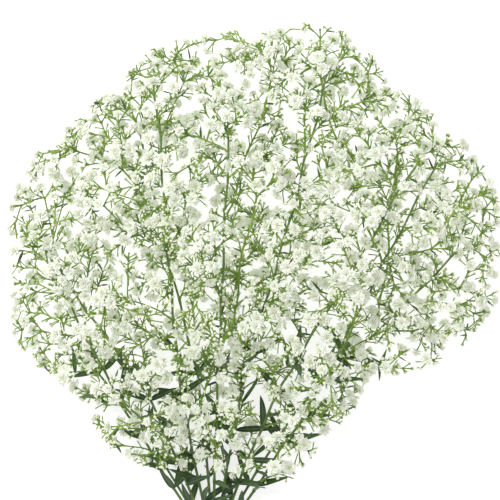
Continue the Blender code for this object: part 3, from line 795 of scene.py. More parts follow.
    def middle_flower(self, parent, level, near, edge):
        """The flower that ends the shoot itself, as large as the room lets it be."""
        rng = self.rng
        choices = []
        shares = OPEN_INSIDE if edge < OPEN_EDGE else OPEN_AT_RIM
        if rng.random() < shares[level]:
            choices.append(("bloom", self.flower_sizes))
        if level < 1 or rng.random() < 0.45:
            choices.append(("opening", self.opening_sizes))
        choices.append(("bud", self.bud_sizes))
        for kind, sizes in choices:
            size = between(rng, sizes)
            for attempt in range(MIDDLE_TRIES):
                tilt = between(rng, MIDDLE_TILT)
                at = ONWARD + rng.uniform(-42.0, 42.0)
                d = tilted(parent.direction, parent.side, tilt, at)
                b = parent.b + d * (between(rng, MIDDLE_LENGTH) + attempt * MIDDLE_STRETCH)
                if self.fits(parent.b, b, self.stalk, size, near):
                    shoot = Shoot(kind, parent.b, b, self.stalk, parent.side, parent.stem)
                    shoot.size = size
                    self.place(shoot, parent)
                    return

    def grow(self):
        """The thick stems, then all that grows from them, then the gaps."""
        for number, plan in enumerate(STEMS):
            self.main_stem(number, plan)
        for axis in self.stems:
            for shoot, node in axis[:-1]:
                if node == "branches":
                    self.start_node(shoot, 1.0)
                elif node == "leaves":
                    self.leaf_node(shoot)
            self.later(0.0, ("fork", axis[-1][0], 0))
        self.work()
        self.fill()

    def work(self):
        """Does the tasks put by, and those that they put by in turn."""
        while self.tasks:
            rank, turn, task = heapq.heappop(self.tasks)
            if task[0] == "side":
                self.side_branch(*task[1:])
            elif task[0] == "node":
                self.side_node(*task[1:])
            else:
                self.fork(*task[1:])

    def fill(self):
        """Sends small sprays from the thick stems into whatever looks empty from above."""
        rng = self.rng
        joints = [shoot for axis in self.stems for shoot, node in axis[:-1] if node == "branches"]
        heads = [shoot.b for shoot in self.shoots if shoot.kind in FLOWERS]
        for attempt in range(FILL_TRIES):
            aim = Vector((between(rng, FILL_WIDE), between(rng, FILL_LONG), 0.0))
            aim.z = 14.0 + rng.random() * (crown_top(aim) - 30.0)
            if crown_share(aim) > FILL_EDGE or aim.z < 12.0:
                continue
            if any(math.hypot(head.x - aim.x, head.y - aim.y) < FILL_GAP for head in heads):
                continue
            done = self.fill_from(joints, aim)
            if done is not None:
                known = len(self.shoots)
                self.fork(done, 1)
                self.work()
                new = self.shoots[known:]
                heads += [shoot.b for shoot in new if shoot.kind in FLOWERS]

    def fill_from(self, joints, aim):
        """A twig from the best placed node of a thick stem towards a point, or None."""
        best = None
        for joint in joints:
            way = aim - joint.b
            far = way.length
            others = [kid for kid in joint.kids if kid.kind == "twig"]
            if far < FILL_REACH[0] or far > FILL_REACH[1] or len(others) > 3:
                continue
            d = way / far
            tilt = math.degrees(math.acos(max(-1.0, min(1.0, d.dot(joint.direction)))))
            if tilt < FILL_TILT[0] or tilt > FILL_TILT[1]:
                continue
            if best is not None and far >= best[0]:
                continue
            end = joint.b + d * (far - FILL_SHORT)
            near = [joint.number] + [kid.number for kid in joint.kids]
            if self.fits(joint.b, end, TWIG_RADIUS + 0.1, 0.0, near):
                best = (far, joint, d, end)
        if best is None:
            return None
        far, joint, d, end = best
        shoot = Shoot("twig", joint.b, end, TWIG_RADIUS + 0.1, d.cross(joint.direction), joint.stem)
        return self.place(shoot, joint)


def band_outline(swell):
    """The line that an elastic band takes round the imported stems, at a distance from their surfaces."""
    centres = []
    for across, row, lean_low, lean_high, rise in STEMS:
        centres.append((BAND_X + across * STEM_PITCH, LOWEST_STEM_Z + row * STEM_PITCH * ROW_RISE))
    line = []
    for k in range(BAND_STEPS):
        angle = math.tau * (k + 0.5) / BAND_STEPS
        nx = math.cos(angle)
        nz = math.sin(angle)
        x, z = max(centres, key=lambda at: at[0] * nx + at[1] * nz)
        line.append((x + nx * (STEM_RADIUS + swell), z + nz * (STEM_RADIUS + swell)))
    return line


def leaf_frame(shoot):
    """The normal of a leaf's upper side and the direction of its width."""
    normal = square_to(shoot.direction, shoot.side)
    return normal, normal.cross(shoot.direction)


def graft(plant, kind, foot, end, radius, size, parent):
    """Adds a fine shoot that the coarse stems leave out, if there is room for it, and returns it."""
    length = (end - foot).length
    d = (end - foot) / length
    too_high = end.z > crown_top(end) + TWIG_ABOVE
    if end.z < 2.0 + size or crown_share(end) > TWIG_EDGE or too_high:
        return None
    start = foot + d * min(1.6, length * 0.5)
    if plant.space.gap(start, end, radius, (parent.number,)) < FINE_GAP:
        return None
    if size > 0.0:
        middle = end + d * (size * FINE_HEAD_RISE)
        if plant.space.gap(middle, middle, size, ()) < FINE_GAP:
            return None
    shoot = Shoot(kind, foot, end, radius, parent.side, parent.stem)
    shoot.size = size
    plant.place(shoot)
    shoot.parent = parent
    return shoot


def add_bud_partners(plant):
    """Most buds stand in twos and threes on one stalk."""
    rng = plant.rng
    for bud in [shoot for shoot in plant.shoots if shoot.kind == "bud"]:
        for bearing in OPPOSITE:
            if rng.random() > PARTNER_SHARE:
                continue
            for attempt in range(FINE_TRIES):
                foot = bud.a.lerp(bud.b, rng.uniform(0.25, 0.7))
                tilt = rng.uniform(30.0, 68.0)
                d = tilted(bud.direction, bud.side, tilt, bearing + rng.uniform(-40.0, 40.0))
                size = between(rng, FINE_BUD_RADIUS)
                if graft(plant, "bud", foot, foot + d * rng.uniform(3.0, 6.5), THREAD_RADIUS, size, bud):
                    break


def add_threads(plant):
    """Thread-like side stalks along the twigs, each with a bud at its end."""
    rng = plant.rng
    for twig in [shoot for shoot in plant.shoots if shoot.kind in ("twig", *FLOWERS)]:
        length = (twig.b - twig.a).length
        here = THREAD_SHARE * (THREAD_CORE - THREAD_FALL * crown_share(twig.b))
        for part in range(max(1, int(length / THREAD_STEP))):
            if rng.random() > here:
                continue
            for attempt in range(FINE_TRIES):
                foot = twig.a.lerp(twig.b, rng.uniform(0.2, 0.85))
                tilt = rng.uniform(28.0, 62.0)
                d = tilted(twig.direction, twig.side, tilt, rng.uniform(0.0, 360.0))
                end = foot + d * between(rng, THREAD_LENGTH)
                size = between(rng, FINE_BUD_RADIUS)
                if graft(plant, "bud", foot, end, THREAD_RADIUS, size, twig):
                    break


def add_sprig_leaves(plant):
    """Small narrow leaves in pairs, where side branches leave a stem or fork."""
    rng = plant.rng
    for twig in [shoot for shoot in plant.shoots if shoot.kind in ("twig", "axis") and shoot.kids]:
        thick = twig.radius > TWIG_RADIUS
        low = thick and twig.b.y < LEAF_TOP_Y
        share = 1.0 if low else SPRIG_SHARE if thick else SPRIG_SHARE * 0.5
        for bearing in (80.0, 260.0):
            if rng.random() > share:
                continue
            length = between(rng, LONG_SPRIG if low else SHORT_SPRIG)
            for attempt in range(FINE_TRIES):
                tilt = rng.uniform(32.0, 76.0)
                d = tilted(twig.direction, twig.side, tilt, bearing + rng.uniform(-35.0, 35.0))
                end = twig.b + d * length
                leaf = graft(plant, "leaf", twig.b, end, LEAF_CLEARANCE, 0.0, twig)
                if leaf is not None:
                    leaf.size = length
                    face = twig.direction * LEAF_TURN + Vector((0.0, 0.0, 1.0))
                    leaf.side = square_to(leaf.direction, face)
                    break


def end_bare_twigs(plant):
    """A small bud ends each twig that found no room for a fork."""
    rng = plant.rng
    for twig in [shoot for shoot in plant.shoots if shoot.kind == "twig" and not shoot.kids]:
        if (twig.b - twig.a).length > LONGEST_BARE:
            twig.kind = "gone"
        else:
            twig.kind = "bud"
            twig.size = between(rng, FINE_BUD_RADIUS)


def add_sprays(plant):
    """Fine sprays with small flowers, from any branch into whatever still looks empty from above."""
    rng = plant.rng
    hosts = [s for s in plant.shoots if s.kind in ("axis", "twig") and s.b.y > SPRAY_LOW_Y]
    hosts = [s for s in hosts if (s.b - s.a).length > HOST_LENGTH]
    starts = [s.a.lerp(s.b, share) for s in hosts for share in (0.3, 0.6, 0.9)]
    owners = [s for s in hosts for share in range(3)]
    places = np.array(starts)
    ways = np.array([s.direction for s in owners])
    heads = [s.b for s in plant.shoots if s.kind in FLOWERS]
    for attempt in range(FINE_SPRAYS):
        aim = Vector((between(rng, FILL_WIDE), between(rng, FINE_LONG), 0.0))
        low = rng.random() ** 0.7
        aim.z = 10.0 + low * (crown_top(aim) - 16.0)
        share = crown_share(aim)
        if share > FINE_EDGE or (aim.y < LOW_TOP_Y and rng.random() > LOW_SHARE):
            continue
        apart = FINE_SPRAY_GAP[0] + (FINE_SPRAY_GAP[1] - FINE_SPRAY_GAP[0]) * share
        if any(math.hypot(head.x - aim.x, head.y - aim.y) < apart for head in heads):
            continue
        run = np.array(aim) - places
        far = np.linalg.norm(run, axis=1)
        lean = np.einsum("ij,ij->i", run, ways) / far
        good = (far > FINE_REACH[0]) & (far < FINE_REACH[1])
        good &= (lean > FINE_LEAN[0]) & (lean < FINE_LEAN[1])
        order = np.nonzero(good)[0]
        order = order[np.argsort(far[order])][:5]
        for k in order:
            host = owners[k]
            d = Vector(run[k] / far[k])
            foot = starts[k]
            end = foot + d * (far[k] - FINE_SHORT)
            if not plant.fits(foot, end, FINE_TWIG, 0.0, [host.number]):
                continue
            shoot = Shoot("twig", foot, end, FINE_TWIG, d.cross(host.direction), host.stem)
            plant.place(shoot)
            shoot.parent = host
            known = len(plant.shoots)
            in_bud = share < CORE_SHARE and rng.random() < GREEN_SHARE
            plant.flower_sizes = FINE_BUD_RADIUS if in_bud else SMALL_BLOOM_RADIUS
            plant.fork(shoot, 1 if far[k] > FAR_SPRAY else 2)
            plant.work()
            for made in plant.shoots[known:]:
                if in_bud and made.kind in FLOWERS:
                    made.kind = "bud"
                    made.size = min(made.size, FINE_BUD_RADIUS[1])
            heads += [s.b for s in plant.shoots[known:] if in_bud or s.kind in FLOWERS]
            break


def grow_bunch():
    """The bunch as its solids have it, and then all that is too fine for them."""
    plant = Plant(SEED)
    plant.grow()
    plant.room = FINE_GAP
    plant.flower_sizes = SMALL_BLOOM_RADIUS
    plant.opening_sizes = SMALL_OPENING_RADIUS
    plant.bud_sizes = FINE_BUD_RADIUS
    plant.stalk = FINE_STALK
    add_sprays(plant)
    end_bare_twigs(plant)
    add_sprig_leaves(plant)
    add_bud_partners(plant)
    add_threads(plant)
    return plant


class Shape:
    """A modelled shape as arrays: points, triangles, the material of each triangle, shades of each point."""

    def __init__(self, points, faces, slots, tips, across):
        self.points = points
        self.faces = faces
        self.slots = slots
        self.tips = tips
        self.across = across


def deselect_all():
    if bpy.context.object is not None and bpy.context.object.mode != "OBJECT":
        bpy.ops.object.mode_set(mode="OBJECT")
    bpy.ops.object.select_all(action="DESELECT")


def pick(thing):
    """Makes a thing the only selected one, and the active one."""
    deselect_all()
    thing.select_set(True)
    bpy.context.view_layer.objects.active = thing


def new_object(name, data):
    thing = bpy.data.objects.new(name, data)
    bpy.context.scene.collection.objects.link(thing)
    return thing


def in_edit_mode(thing, work):
    """Runs one step of modelling on a thing, with all of it selected."""
    pick(thing)
    bpy.ops.object.mode_set(mode="EDIT")
    bpy.ops.mesh.select_all(action="SELECT")
    work()
    bpy.ops.object.mode_set(mode="OBJECT")


def taken(thing, slot, tip, across):
    """Turns a finished thing into a shape, with its two shades worked out from its points."""
    mesh = thing.data
    mesh.calc_loop_triangles()
    points = np.zeros(len(mesh.vertices) * 3)
    mesh.vertices.foreach_get("co", points)
    faces = np.zeros(len(mesh.loop_triangles) * 3, dtype=np.int32)
    mesh.loop_triangles.foreach_get("vertices", faces)
    bpy.data.objects.remove(thing, do_unlink=True)
    points = points.reshape(-1, 3)
    faces = faces.reshape(-1, 3)
    slots = np.full(len(faces), slot, dtype=np.int32)
    return Shape(points, faces, slots, tip(points), across(points))


def together(shapes):
    """Several shapes as one."""
    starts = np.cumsum([0] + [len(shape.points) for shape in shapes])
    faces = [shape.faces + start for shape, start in zip(shapes, starts)]
    return Shape(
        np.concatenate([shape.points for shape in shapes]),
        np.concatenate(faces),
        np.concatenate([shape.slots for shape in shapes]),
        np.concatenate([shape.tips for shape in shapes]),
        np.concatenate([shape.across for shape in shapes]),
    )


def changed(shape, points, tips=None):
    """A shape like another one, with points and perhaps tip shades of its own."""
    return Shape(points, shape.faces, shape.slots, shape.tips if tips is None else tips, shape.across)


def model_petal():
    """A thin notched petal, nearly one unit long: a low pyramid on an outline of four points."""
    deselect_all()
    bpy.ops.mesh.primitive_cone_add(vertices=4, radius1=1.0, radius2=0.0, depth=1.0)
    petal = bpy.context.object
    rim = [point for point in petal.data.vertices if point.co.z < 0.0]
    middle = next(point for point in petal.data.vertices if point.co.z > 0.0)
    rim.sort(key=lambda point: (math.atan2(point.co.y, point.co.x) + math.pi / 2.0 + 0.01) % math.tau)
    for point, place in zip(rim, PETAL_OUTLINE):
        point.co = (place[0], place[1], 0.0)
    middle.co = (0.0, PETAL_MIDDLE, PETAL_THICKNESS)
    return taken(petal, WHITE, lambda p: p[:, 1].copy(), lambda p: p[:, 0] / PETAL_OUTLINE[1][0])


def set_petal(petal, bearing, start, curl, length, width, foot, cup):
    """Bends a flat petal along an arc that leaves the middle of the flower at one angle and curls out."""
    start = math.radians(start)
    curl = math.radians(curl)
    angle = start + curl * petal.points[:, 1]
    out = length * (np.sin(angle) - math.sin(start)) / curl
    up = length * (math.cos(start) - np.cos(angle)) / curl
    rise = petal.points[:, 2] + cup * petal.points[:, 0] ** 2
    out = out - rise * np.sin(angle) + foot[0]
    up = up + rise * np.cos(angle) + foot[1]
    x = petal.points[:, 0] * width
    turn = math.radians(bearing)
    return np.stack((
        out * math.cos(turn) + x * math.sin(turn),
        out * math.sin(turn) - x * math.cos(turn),
        up,
    ), axis=1)


def model_flower(petal, calyx, rings, rng):
    """A double flower: rings of petals that stand steeper towards its middle, in a green calyx."""
    parts = [calyx]
    for number, (count, start, curl, length, width, height) in enumerate(rings):
        first = rng.uniform(0.0, 360.0)
        for k in range(count):
            bearing = first + 360.0 * k / count + rng.uniform(-13.0, 13.0)
            points = set_petal(
                petal,
                bearing,
                start + rng.uniform(-8.0, 8.0),
                curl * rng.uniform(0.65, 1.3),
                length * rng.uniform(0.74, 1.1),
                width * rng.uniform(0.9, 1.15),
                (FLOWER_FOOT, height),
                rng.uniform(-0.6, 0.6),
            )
            parts.append(changed(petal, points, petal.tips * (1.0 - 0.1 * number)))
    return together(parts)


def model_calyx(low, high, tall):
    """A green cup with five sides, closed at its top under the petals."""
    deselect_all()
    bpy.ops.mesh.primitive_cone_add(
        vertices=5,
        radius1=low,
        radius2=high,
        depth=tall,
        end_fill_type="NGON",
        location=(0.0, 0.0, tall / 2.0),
    )
    cup = bpy.context.object
    bpy.ops.object.transform_apply(location=True)
    return taken(cup, GREEN, lambda p: p[:, 2] / tall, lambda p: np.zeros(len(p)))


def model_bud(calyx):
    """A round bud, slightly taller than wide, in its calyx."""
    deselect_all()
    bpy.ops.mesh.primitive_uv_sphere_add(segments=6, ring_count=4, radius=1.0)
    bud = bpy.context.object

    def squeeze():
        bpy.ops.transform.resize(value=(0.9, 0.9, 0.84))
        bpy.ops.transform.translate(value=(0.0, 0.0, 0.72))

    in_edit_mode(bud, squeeze)
    ball = taken(bud, WHITE, lambda p: np.clip(p[:, 2] / 1.56, 0.0, 1.0), lambda p: np.zeros(len(p)))
    return together([ball, calyx])


def model_blade(rows):
    """A flat blade one unit long, two wide and one thick, cut into rows."""
    deselect_all()
    bpy.ops.mesh.primitive_grid_add(x_subdivisions=2, y_subdivisions=rows, size=2.0)
    blade = bpy.context.object

    def lengthen():
        bpy.ops.transform.resize(value=(1.0, 0.5, 1.0))
        bpy.ops.transform.translate(value=(0.0, 0.5, 0.0))

    in_edit_mode(blade, lengthen)
    wall = blade.modifiers.new("wall", "SOLIDIFY")
    wall.thickness = 1.0
    wall.offset = 0.0
    pick(blade)
    bpy.ops.object.modifier_apply(modifier="wall")
    return taken(blade, 0, lambda p: p[:, 1].copy(), lambda p: p[:, 0].copy())


def model_scale():
    """A tiny pointed bract: a cone with four sides, pressed flat."""
    deselect_all()
    bpy.ops.mesh.primitive_cone_add(
        vertices=4,
        radius1=1.0,
        radius2=0.0,
        depth=1.0,
        location=(0.0, 0.0, 0.5),
    )
    scale = bpy.context.object
    bpy.ops.object.transform_apply(location=True)
    in_edit_mode(scale, lambda: bpy.ops.transform.resize(value=(0.45, 0.16, 1.0)))
    return taken(scale, 0, lambda p: p[:, 2].copy(), lambda p: p[:, 0].copy())


class Piece:
    """One finished piece: many shapes in their places, gathered into a mesh of its own."""

    def __init__(self, name, materials):
        self.name = name
        self.materials = materials
        self.shapes = []
        self.tints = []

    def add(self, shape, points, tint):
        self.shapes.append(changed(shape, points))
        self.tints.append(np.full(len(points), tint))

    def place(self, shape, foot, direction, side, size, tint):
        """Puts a shape with its foot at a point and its own Z along a direction."""
        other = direction.cross(side)
        axes = np.array([side, other, direction]) * size
        self.add(shape, shape.points @ axes + np.array(foot), tint)

    def finish(self, shift, sharp):
        """Makes the mesh in the object's own frame; edges sharper than an angle stay sharp."""
        whole = together(self.shapes)
        whole.points[:, 2] = np.maximum(whole.points[:, 2], 0.0)
        mesh = bpy.data.meshes.new(self.name)
        mesh.from_pydata(((whole.points - np.array(shift)) * MM).tolist(), [], whole.faces.tolist())
        tints = np.concatenate(self.tints)
        for name, values in (("tip", whole.tips), ("across", whole.across), ("tint", tints)):
            layer = mesh.attributes.new(name, "FLOAT", "POINT")
            layer.data.foreach_set("value", values.astype(np.float32))
        for material in self.materials:
            mesh.materials.append(material)
        mesh.polygons.foreach_set("material_index", whole.slots)
        thing = new_object(self.name, mesh)
        pick(thing)
        bpy.ops.object.shade_smooth_by_angle(angle=math.radians(sharp))
        return thing


class Value:
    """A number or colour that a node gives, which arithmetic turns into more nodes."""

    def __init__(self, finish, socket):
        self.finish = finish
        self.socket = socket

    def math(self, operation, first, second):
        return self.finish.node("ShaderNodeMath", {"operation": operation}, {0: first, 1: second})

    def __add__(self, other):
        return self.math("ADD", self, other)

    def __radd__(self, other):
        return self.math("ADD", other, self)

    def __sub__(self, other):
        return self.math("SUBTRACT", self, other)

    def __rsub__(self, other):
        return self.math("SUBTRACT", other, self)

    def __mul__(self, other):
        return self.math("MULTIPLY", self, other)

    def __rmul__(self, other):
        return self.math("MULTIPLY", other, self)

    def __abs__(self):
        return self.math("ABSOLUTE", self, 0.0)


class Finish:
    """A procedural material; every node of it is made by the one method node()."""

    def __init__(self, name, constants):
        self.material = bpy.data.materials.new(name)
        self.material.use_nodes = True
        self.tree = self.material.node_tree
        self.shader = self.tree.nodes["Principled BSDF"]
        for socket, value in constants.items():
            self.shader.inputs[socket].default_value = value

    def node(self, kind, settings, sockets, output=0):
        made = self.tree.nodes.new(kind)
        for name, value in settings.items():
            setattr(made, name, value)
        for name, value in sockets.items():
            if isinstance(value, Value):
                self.tree.links.new(value.socket, made.inputs[name])
            else:
                made.inputs[name].default_value = value
        return Value(self, made.outputs[output])

    def attribute(self, name):
        return self.node("ShaderNodeAttribute", {"attribute_name": name}, {}, "Fac")

    def place(self, scale=(1.0, 1.0, 1.0)):
        """The place on the piece, in metres, stretched if a pattern runs along one axis."""
        at = self.node("ShaderNodeTexCoord", {}, {}, "Object")
        return self.node("ShaderNodeMapping", {}, {"Vector": at, "Scale": scale})

    def noise(self, scale, detail=2.0, stretch=(1.0, 1.0, 1.0)):
        sockets = {"Vector": self.place(stretch), "Scale": scale, "Detail": detail}
        return self.node("ShaderNodeTexNoise", {}, sockets, "Fac")

    def sine(self, value):
        return self.node("ShaderNodeMath", {"operation": "SINE"}, {0: value})

    def ease(self, value, low, high):
        """0 below one limit, 1 above the other, and a smooth rise between."""
        sockets = {"Value": value, "From Min": low, "From Max": high}
        return self.node("ShaderNodeMapRange", {"interpolation_type": "SMOOTHSTEP"}, sockets)

    def mix(self, share, low, high):
        """A colour between two others; low and high are colours or values."""
        sockets = {0: share}
        for number, colour in ((6, low), (7, high)):
            sockets[number] = colour if isinstance(colour, Value) else (*colour, 1.0)
        return self.node("ShaderNodeMix", {"data_type": "RGBA"}, sockets, 2)

    def bump(self, height, strength, distance):
        sockets = {"Height": height, "Strength": strength, "Distance": distance}
        return self.node("ShaderNodeBump", {}, sockets)

    def wear(self, socket, value):
        self.tree.links.new(value.socket, self.shader.inputs[socket])


def petal_finish():
    """White petals, creamy green at their foot, with fine veins along them and a faint painted glow."""
    # Painted glow: a faint emission in the petal colour lifts the shaded undersides of the petals.
    finish = Finish("petal_white", {"Emission Strength": PETAL_PAINTED_GLOW})
    tip = finish.attribute("tip")
    tint = finish.attribute("tint")
    across = finish.attribute("across")
    glow = finish.ease(tip, 0.0, 0.36)
    colour = finish.mix(glow, PETAL_FOOT_COLOUR, PETAL_COLOUR)
    colour = finish.mix(tint * 0.4 * (1.0 - tip * 0.6), colour, PETAL_CREAM)
    veins = finish.sine(across * 16.0)
    grain = finish.noise(900.0)
    finish.wear("Base Color", colour)
    finish.wear("Emission Color", colour)
    finish.wear("Roughness", 0.55 + grain * 0.18)
    finish.wear("Normal", finish.bump(veins * 0.5 + grain, 0.18, 0.0002))
    return finish.material


def calyx_finish():
    """Green sepals with pale, papery margins."""
    finish = Finish("calyx_green", {"Roughness": 0.55})
    tip = finish.attribute("tip")
    tint = finish.attribute("tint")
    grain = finish.noise(700.0)
    green = finish.mix(tint, CALYX_COLOUR, CALYX_YELLOW)
    colour = finish.mix(finish.ease(tip + grain * 0.2, 0.62, 1.15), green, CALYX_MARGIN)
    finish.wear("Base Color", colour)
    finish.wear("Normal", finish.bump(grain, 0.15, 0.0002))
    return finish.material


def bud_finish():
    """Ivory buds with a flush of green from their foot, a whiter tip and a faint painted glow."""
    # Painted glow: a faint emission in the bud colour lifts the shaded sides of the buds.
    finish = Finish("bud_ivory", {"Roughness": 0.5, "Emission Strength": PETAL_PAINTED_GLOW})
    tip = finish.attribute("tip")
    tint = finish.attribute("tint")
    grain = finish.noise(800.0)
    low = finish.mix(tint, BUD_GREEN, BUD_LIME)
    colour = finish.mix(finish.ease(tip + tint * 0.35 + grain * 0.15, 0.3, 1.0), low, BUD_IVORY)
    finish.wear("Base Color", colour)
    finish.wear("Emission Color", colour)
    finish.wear("Normal", finish.bump(grain, 0.12, 0.0002))
    return finish.material


def stem_finish():
    """Thick stems: bluish green with a waxy bloom, fine ribs along them and a few straw flecks."""
    finish = Finish("stem_green", {"Specular IOR Level": 0.4})
    patches = finish.noise(55.0, 4.0)
    ribs = finish.noise(1500.0, 2.0, (1.0, 0.05, 1.0))
    flecks = finish.noise(420.0, 3.0, (1.0, 0.3, 1.0))
    colour = finish.mix(finish.ease(patches, 0.35, 0.68), STEM_COLOUR, STEM_WAX)
    colour = finish.mix(finish.ease(flecks, 0.62, 0.78), colour, STEM_STRAW)
    colour = finish.mix(ribs * 0.35, colour, STEM_DEEP)
    finish.wear("Base Color", colour)
    finish.wear("Roughness", 0.42 + patches * 0.25)
    finish.wear("Normal", finish.bump(ribs, 0.3, 0.0003))
    return finish.material


def twig_finish():
    """Thin stalks: fresh yellow green, paler in places."""
    finish = Finish("twig_green", {"Roughness": 0.5})
    patches = finish.noise(38.0, 3.0)
    grain = finish.noise(600.0)
    colour = finish.mix(finish.ease(patches, 0.36, 0.64), TWIG_COLOUR, TWIG_LIME)
    colour = finish.mix(grain * 0.3, colour, STEM_COLOUR)
    finish.wear("Base Color", colour)
    finish.wear("Normal", finish.bump(grain, 0.15, 0.0002))
    return finish.material


def cut_finish():
    """The cut face of a stem: a green rind round pale pith, already drying."""
    finish = Finish("cut_pith", {"Roughness": 0.8})
    pores = finish.noise(2600.0, 3.0)
    colour = finish.mix(finish.ease(pores, 0.35, 0.7), PITH_COLOUR, PITH_DARK)
    finish.wear("Base Color", colour)
    finish.wear("Normal", finish.bump(pores, 0.4, 0.0003))
    return finish.material


def leaf_finish():
    """Blue-green leaves with a waxy bloom, a pale midrib and faint veins beside it."""
    finish = Finish("leaf_green", {"Specular IOR Level": 0.45})
    across = finish.attribute("across")
    tip = finish.attribute("tip")
    tint = finish.attribute("tint")
    bloom = finish.noise(70.0, 4.0)
    rib = 1.0 - finish.ease(abs(across), 0.03, 0.2)
    veins = finish.sine(across * 21.0)
    colour = finish.mix(tint, LEAF_COLOUR, LEAF_FRESH)
    colour = finish.mix(finish.ease(bloom, 0.4, 0.7) * 0.55, colour, LEAF_WAX)
    colour = finish.mix(rib * 0.6 + tip * 0.12, colour, LEAF_RIB)
    finish.wear("Base Color", colour)
    finish.wear("Roughness", 0.4 + bloom * 0.3)
    finish.wear("Normal", finish.bump(veins * 0.3 - rib * 0.8 + bloom * 0.3, 0.35, 0.0003))
    return finish.material


def band_finish():
    """Natural rubber, dull, with a dusty bloom."""
    finish = Finish("band_rubber", {"Specular IOR Level": 0.35})
    dust = finish.noise(260.0, 4.0)
    grain = finish.noise(1800.0)
    finish.wear("Base Color", finish.mix(finish.ease(dust, 0.4, 0.75), RUBBER_COLOUR, RUBBER_DUST))
    finish.wear("Roughness", 0.5 + dust * 0.3)
    finish.wear("Normal", finish.bump(grain, 0.2, 0.0002))
    return finish.material


def floor_finish():
    return Finish("studio_floor", {
        "Base Color": (*FLOOR_COLOUR, 1.0),
        "Roughness": 0.9,
        "Specular IOR Level": 0.1,
        "Emission Color": (1.0, 1.0, 1.0, 1.0),
        "Emission Strength": FLOOR_GLOW,
    }).material


def bend(t, start, first, end, last):
    """The point at a share of a curve that leaves its start one way and reaches its end another way."""
    h1 = 2.0 * t ** 3 - 3.0 * t ** 2 + 1.0
    h2 = t ** 3 - 2.0 * t ** 2 + t
    h3 = -2.0 * t ** 3 + 3.0 * t ** 2
    h4 = t ** 3 - t ** 2
    return start * h1 + first * h2 + end * h3 + last * h4


def curved_line(shoot, steps):
    """The line of a thin shoot: it leaves along what bears it and bends to its own direction."""
    run = shoot.b - shoot.a
    first = (shoot.direction + shoot.parent.direction * SOFT_START).normalized() * run.length
    return [bend(k / steps, shoot.a, first, shoot.b, run) for k in range(steps + 1)]


def twig_radii(shoot, steps):
    """A stalk is a little thicker at both ends, where it joins."""
    if shoot.kind == "twig":
        low, high = AXIS_STALK if shoot.radius > TWIG_RADIUS + 0.15 else TWIG_STALK
    elif shoot.kind == "bud":
        low, high = BUD_STALK
    else:
        low, high = FLOWER_STALK
    radii = []
    for k in range(steps + 1):
        t = k / steps
        swell = 1.0 + JOINT_SWELL * ((1.0 - t) ** 6 + t ** 6)
        radii.append((low + (high - low) * t) * swell)
    return radii


def stem_line(axis):
    """The smooth line of a thick stem through its joints, and its radius along it."""
    joints = [axis[0][0].a] + [shoot.b for shoot, node in axis]
    swollen = [False] + [node for shoot, node in axis]
    count = len(joints) - 1
    line = []
    radii = []
    for k in range(count):
        before = joints[max(k - 1, 0)]
        after = joints[min(k + 2, count)]
        first = (joints[k + 1] - before) * 0.5 if k else joints[1] - joints[0]
        last = (after - joints[k]) * 0.5 if k + 1 < count else joints[count] - joints[count - 1]
        for t in NODE_TO_NODE if k else TAIL_TO_BAND:
            line.append(bend(t, joints[k], first, joints[k + 1], last))
            share = (k + t) / count
            radius = STEM_RADIUS + (STEM_TIP_RADIUS - STEM_RADIUS) * share
            near = (1.0 - t / NODE_LENGTH) if swollen[k] else 0.0
            near = max(near, (1.0 - (1.0 - t) / NODE_LENGTH) if swollen[k + 1] else 0.0)
            radii.append(radius * (1.0 + NODE_SWELL * max(near, 0.0)))
    line.append(joints[count])
    radii.append(STEM_TIP_RADIUS)
    return line, radii


def new_curve(name, depth, roundness):
    curve = bpy.data.curves.new(name, "CURVE")
    curve.dimensions = "3D"
    curve.bevel_depth = depth
    curve.bevel_resolution = roundness
    return curve


def as_mesh(name, curve):
    """Turns a finished curve into a smooth mesh."""
    pick(new_object(name, curve))
    bpy.ops.object.convert(target="MESH")
    bpy.ops.object.shade_smooth_by_angle(angle=math.radians(SMOOTH_STALK))
    return bpy.context.object


def tubes(name, lines, roundness, shift):
    """Round tubes along some lines, drawn as one curve with a bevel and turned into a mesh."""
    curve = new_curve(name, MM, roundness)
    curve.use_fill_caps = True
    for line, radii in lines:
        spline = curve.splines.new("POLY")
        spline.points.add(len(line) - 1)
        for point, place, radius in zip(spline.points, line, radii):
            high = max(place.z, radius)
            point.co = ((place.x - shift.x) * MM, (place.y - shift.y) * MM, high * MM, 1.0)
            point.radius = radius
    return as_mesh(name, curve)


def joined(things, name):
    deselect_all()
    for thing in things:
        thing.select_set(True)
    bpy.context.view_layer.objects.active = things[0]
    bpy.ops.object.join()
    things[0].name = name
    things[0].data.name = name
    return things[0]


def stem_name(number):
    return "stem_" + str(number + 1)


def of_stem(plant, number, kinds):
    """The shoots of one stem that are of some kinds, in the order in which they grew."""
    return [shoot for shoot in plant.shoots if shoot.stem == number and shoot.kind in kinds]


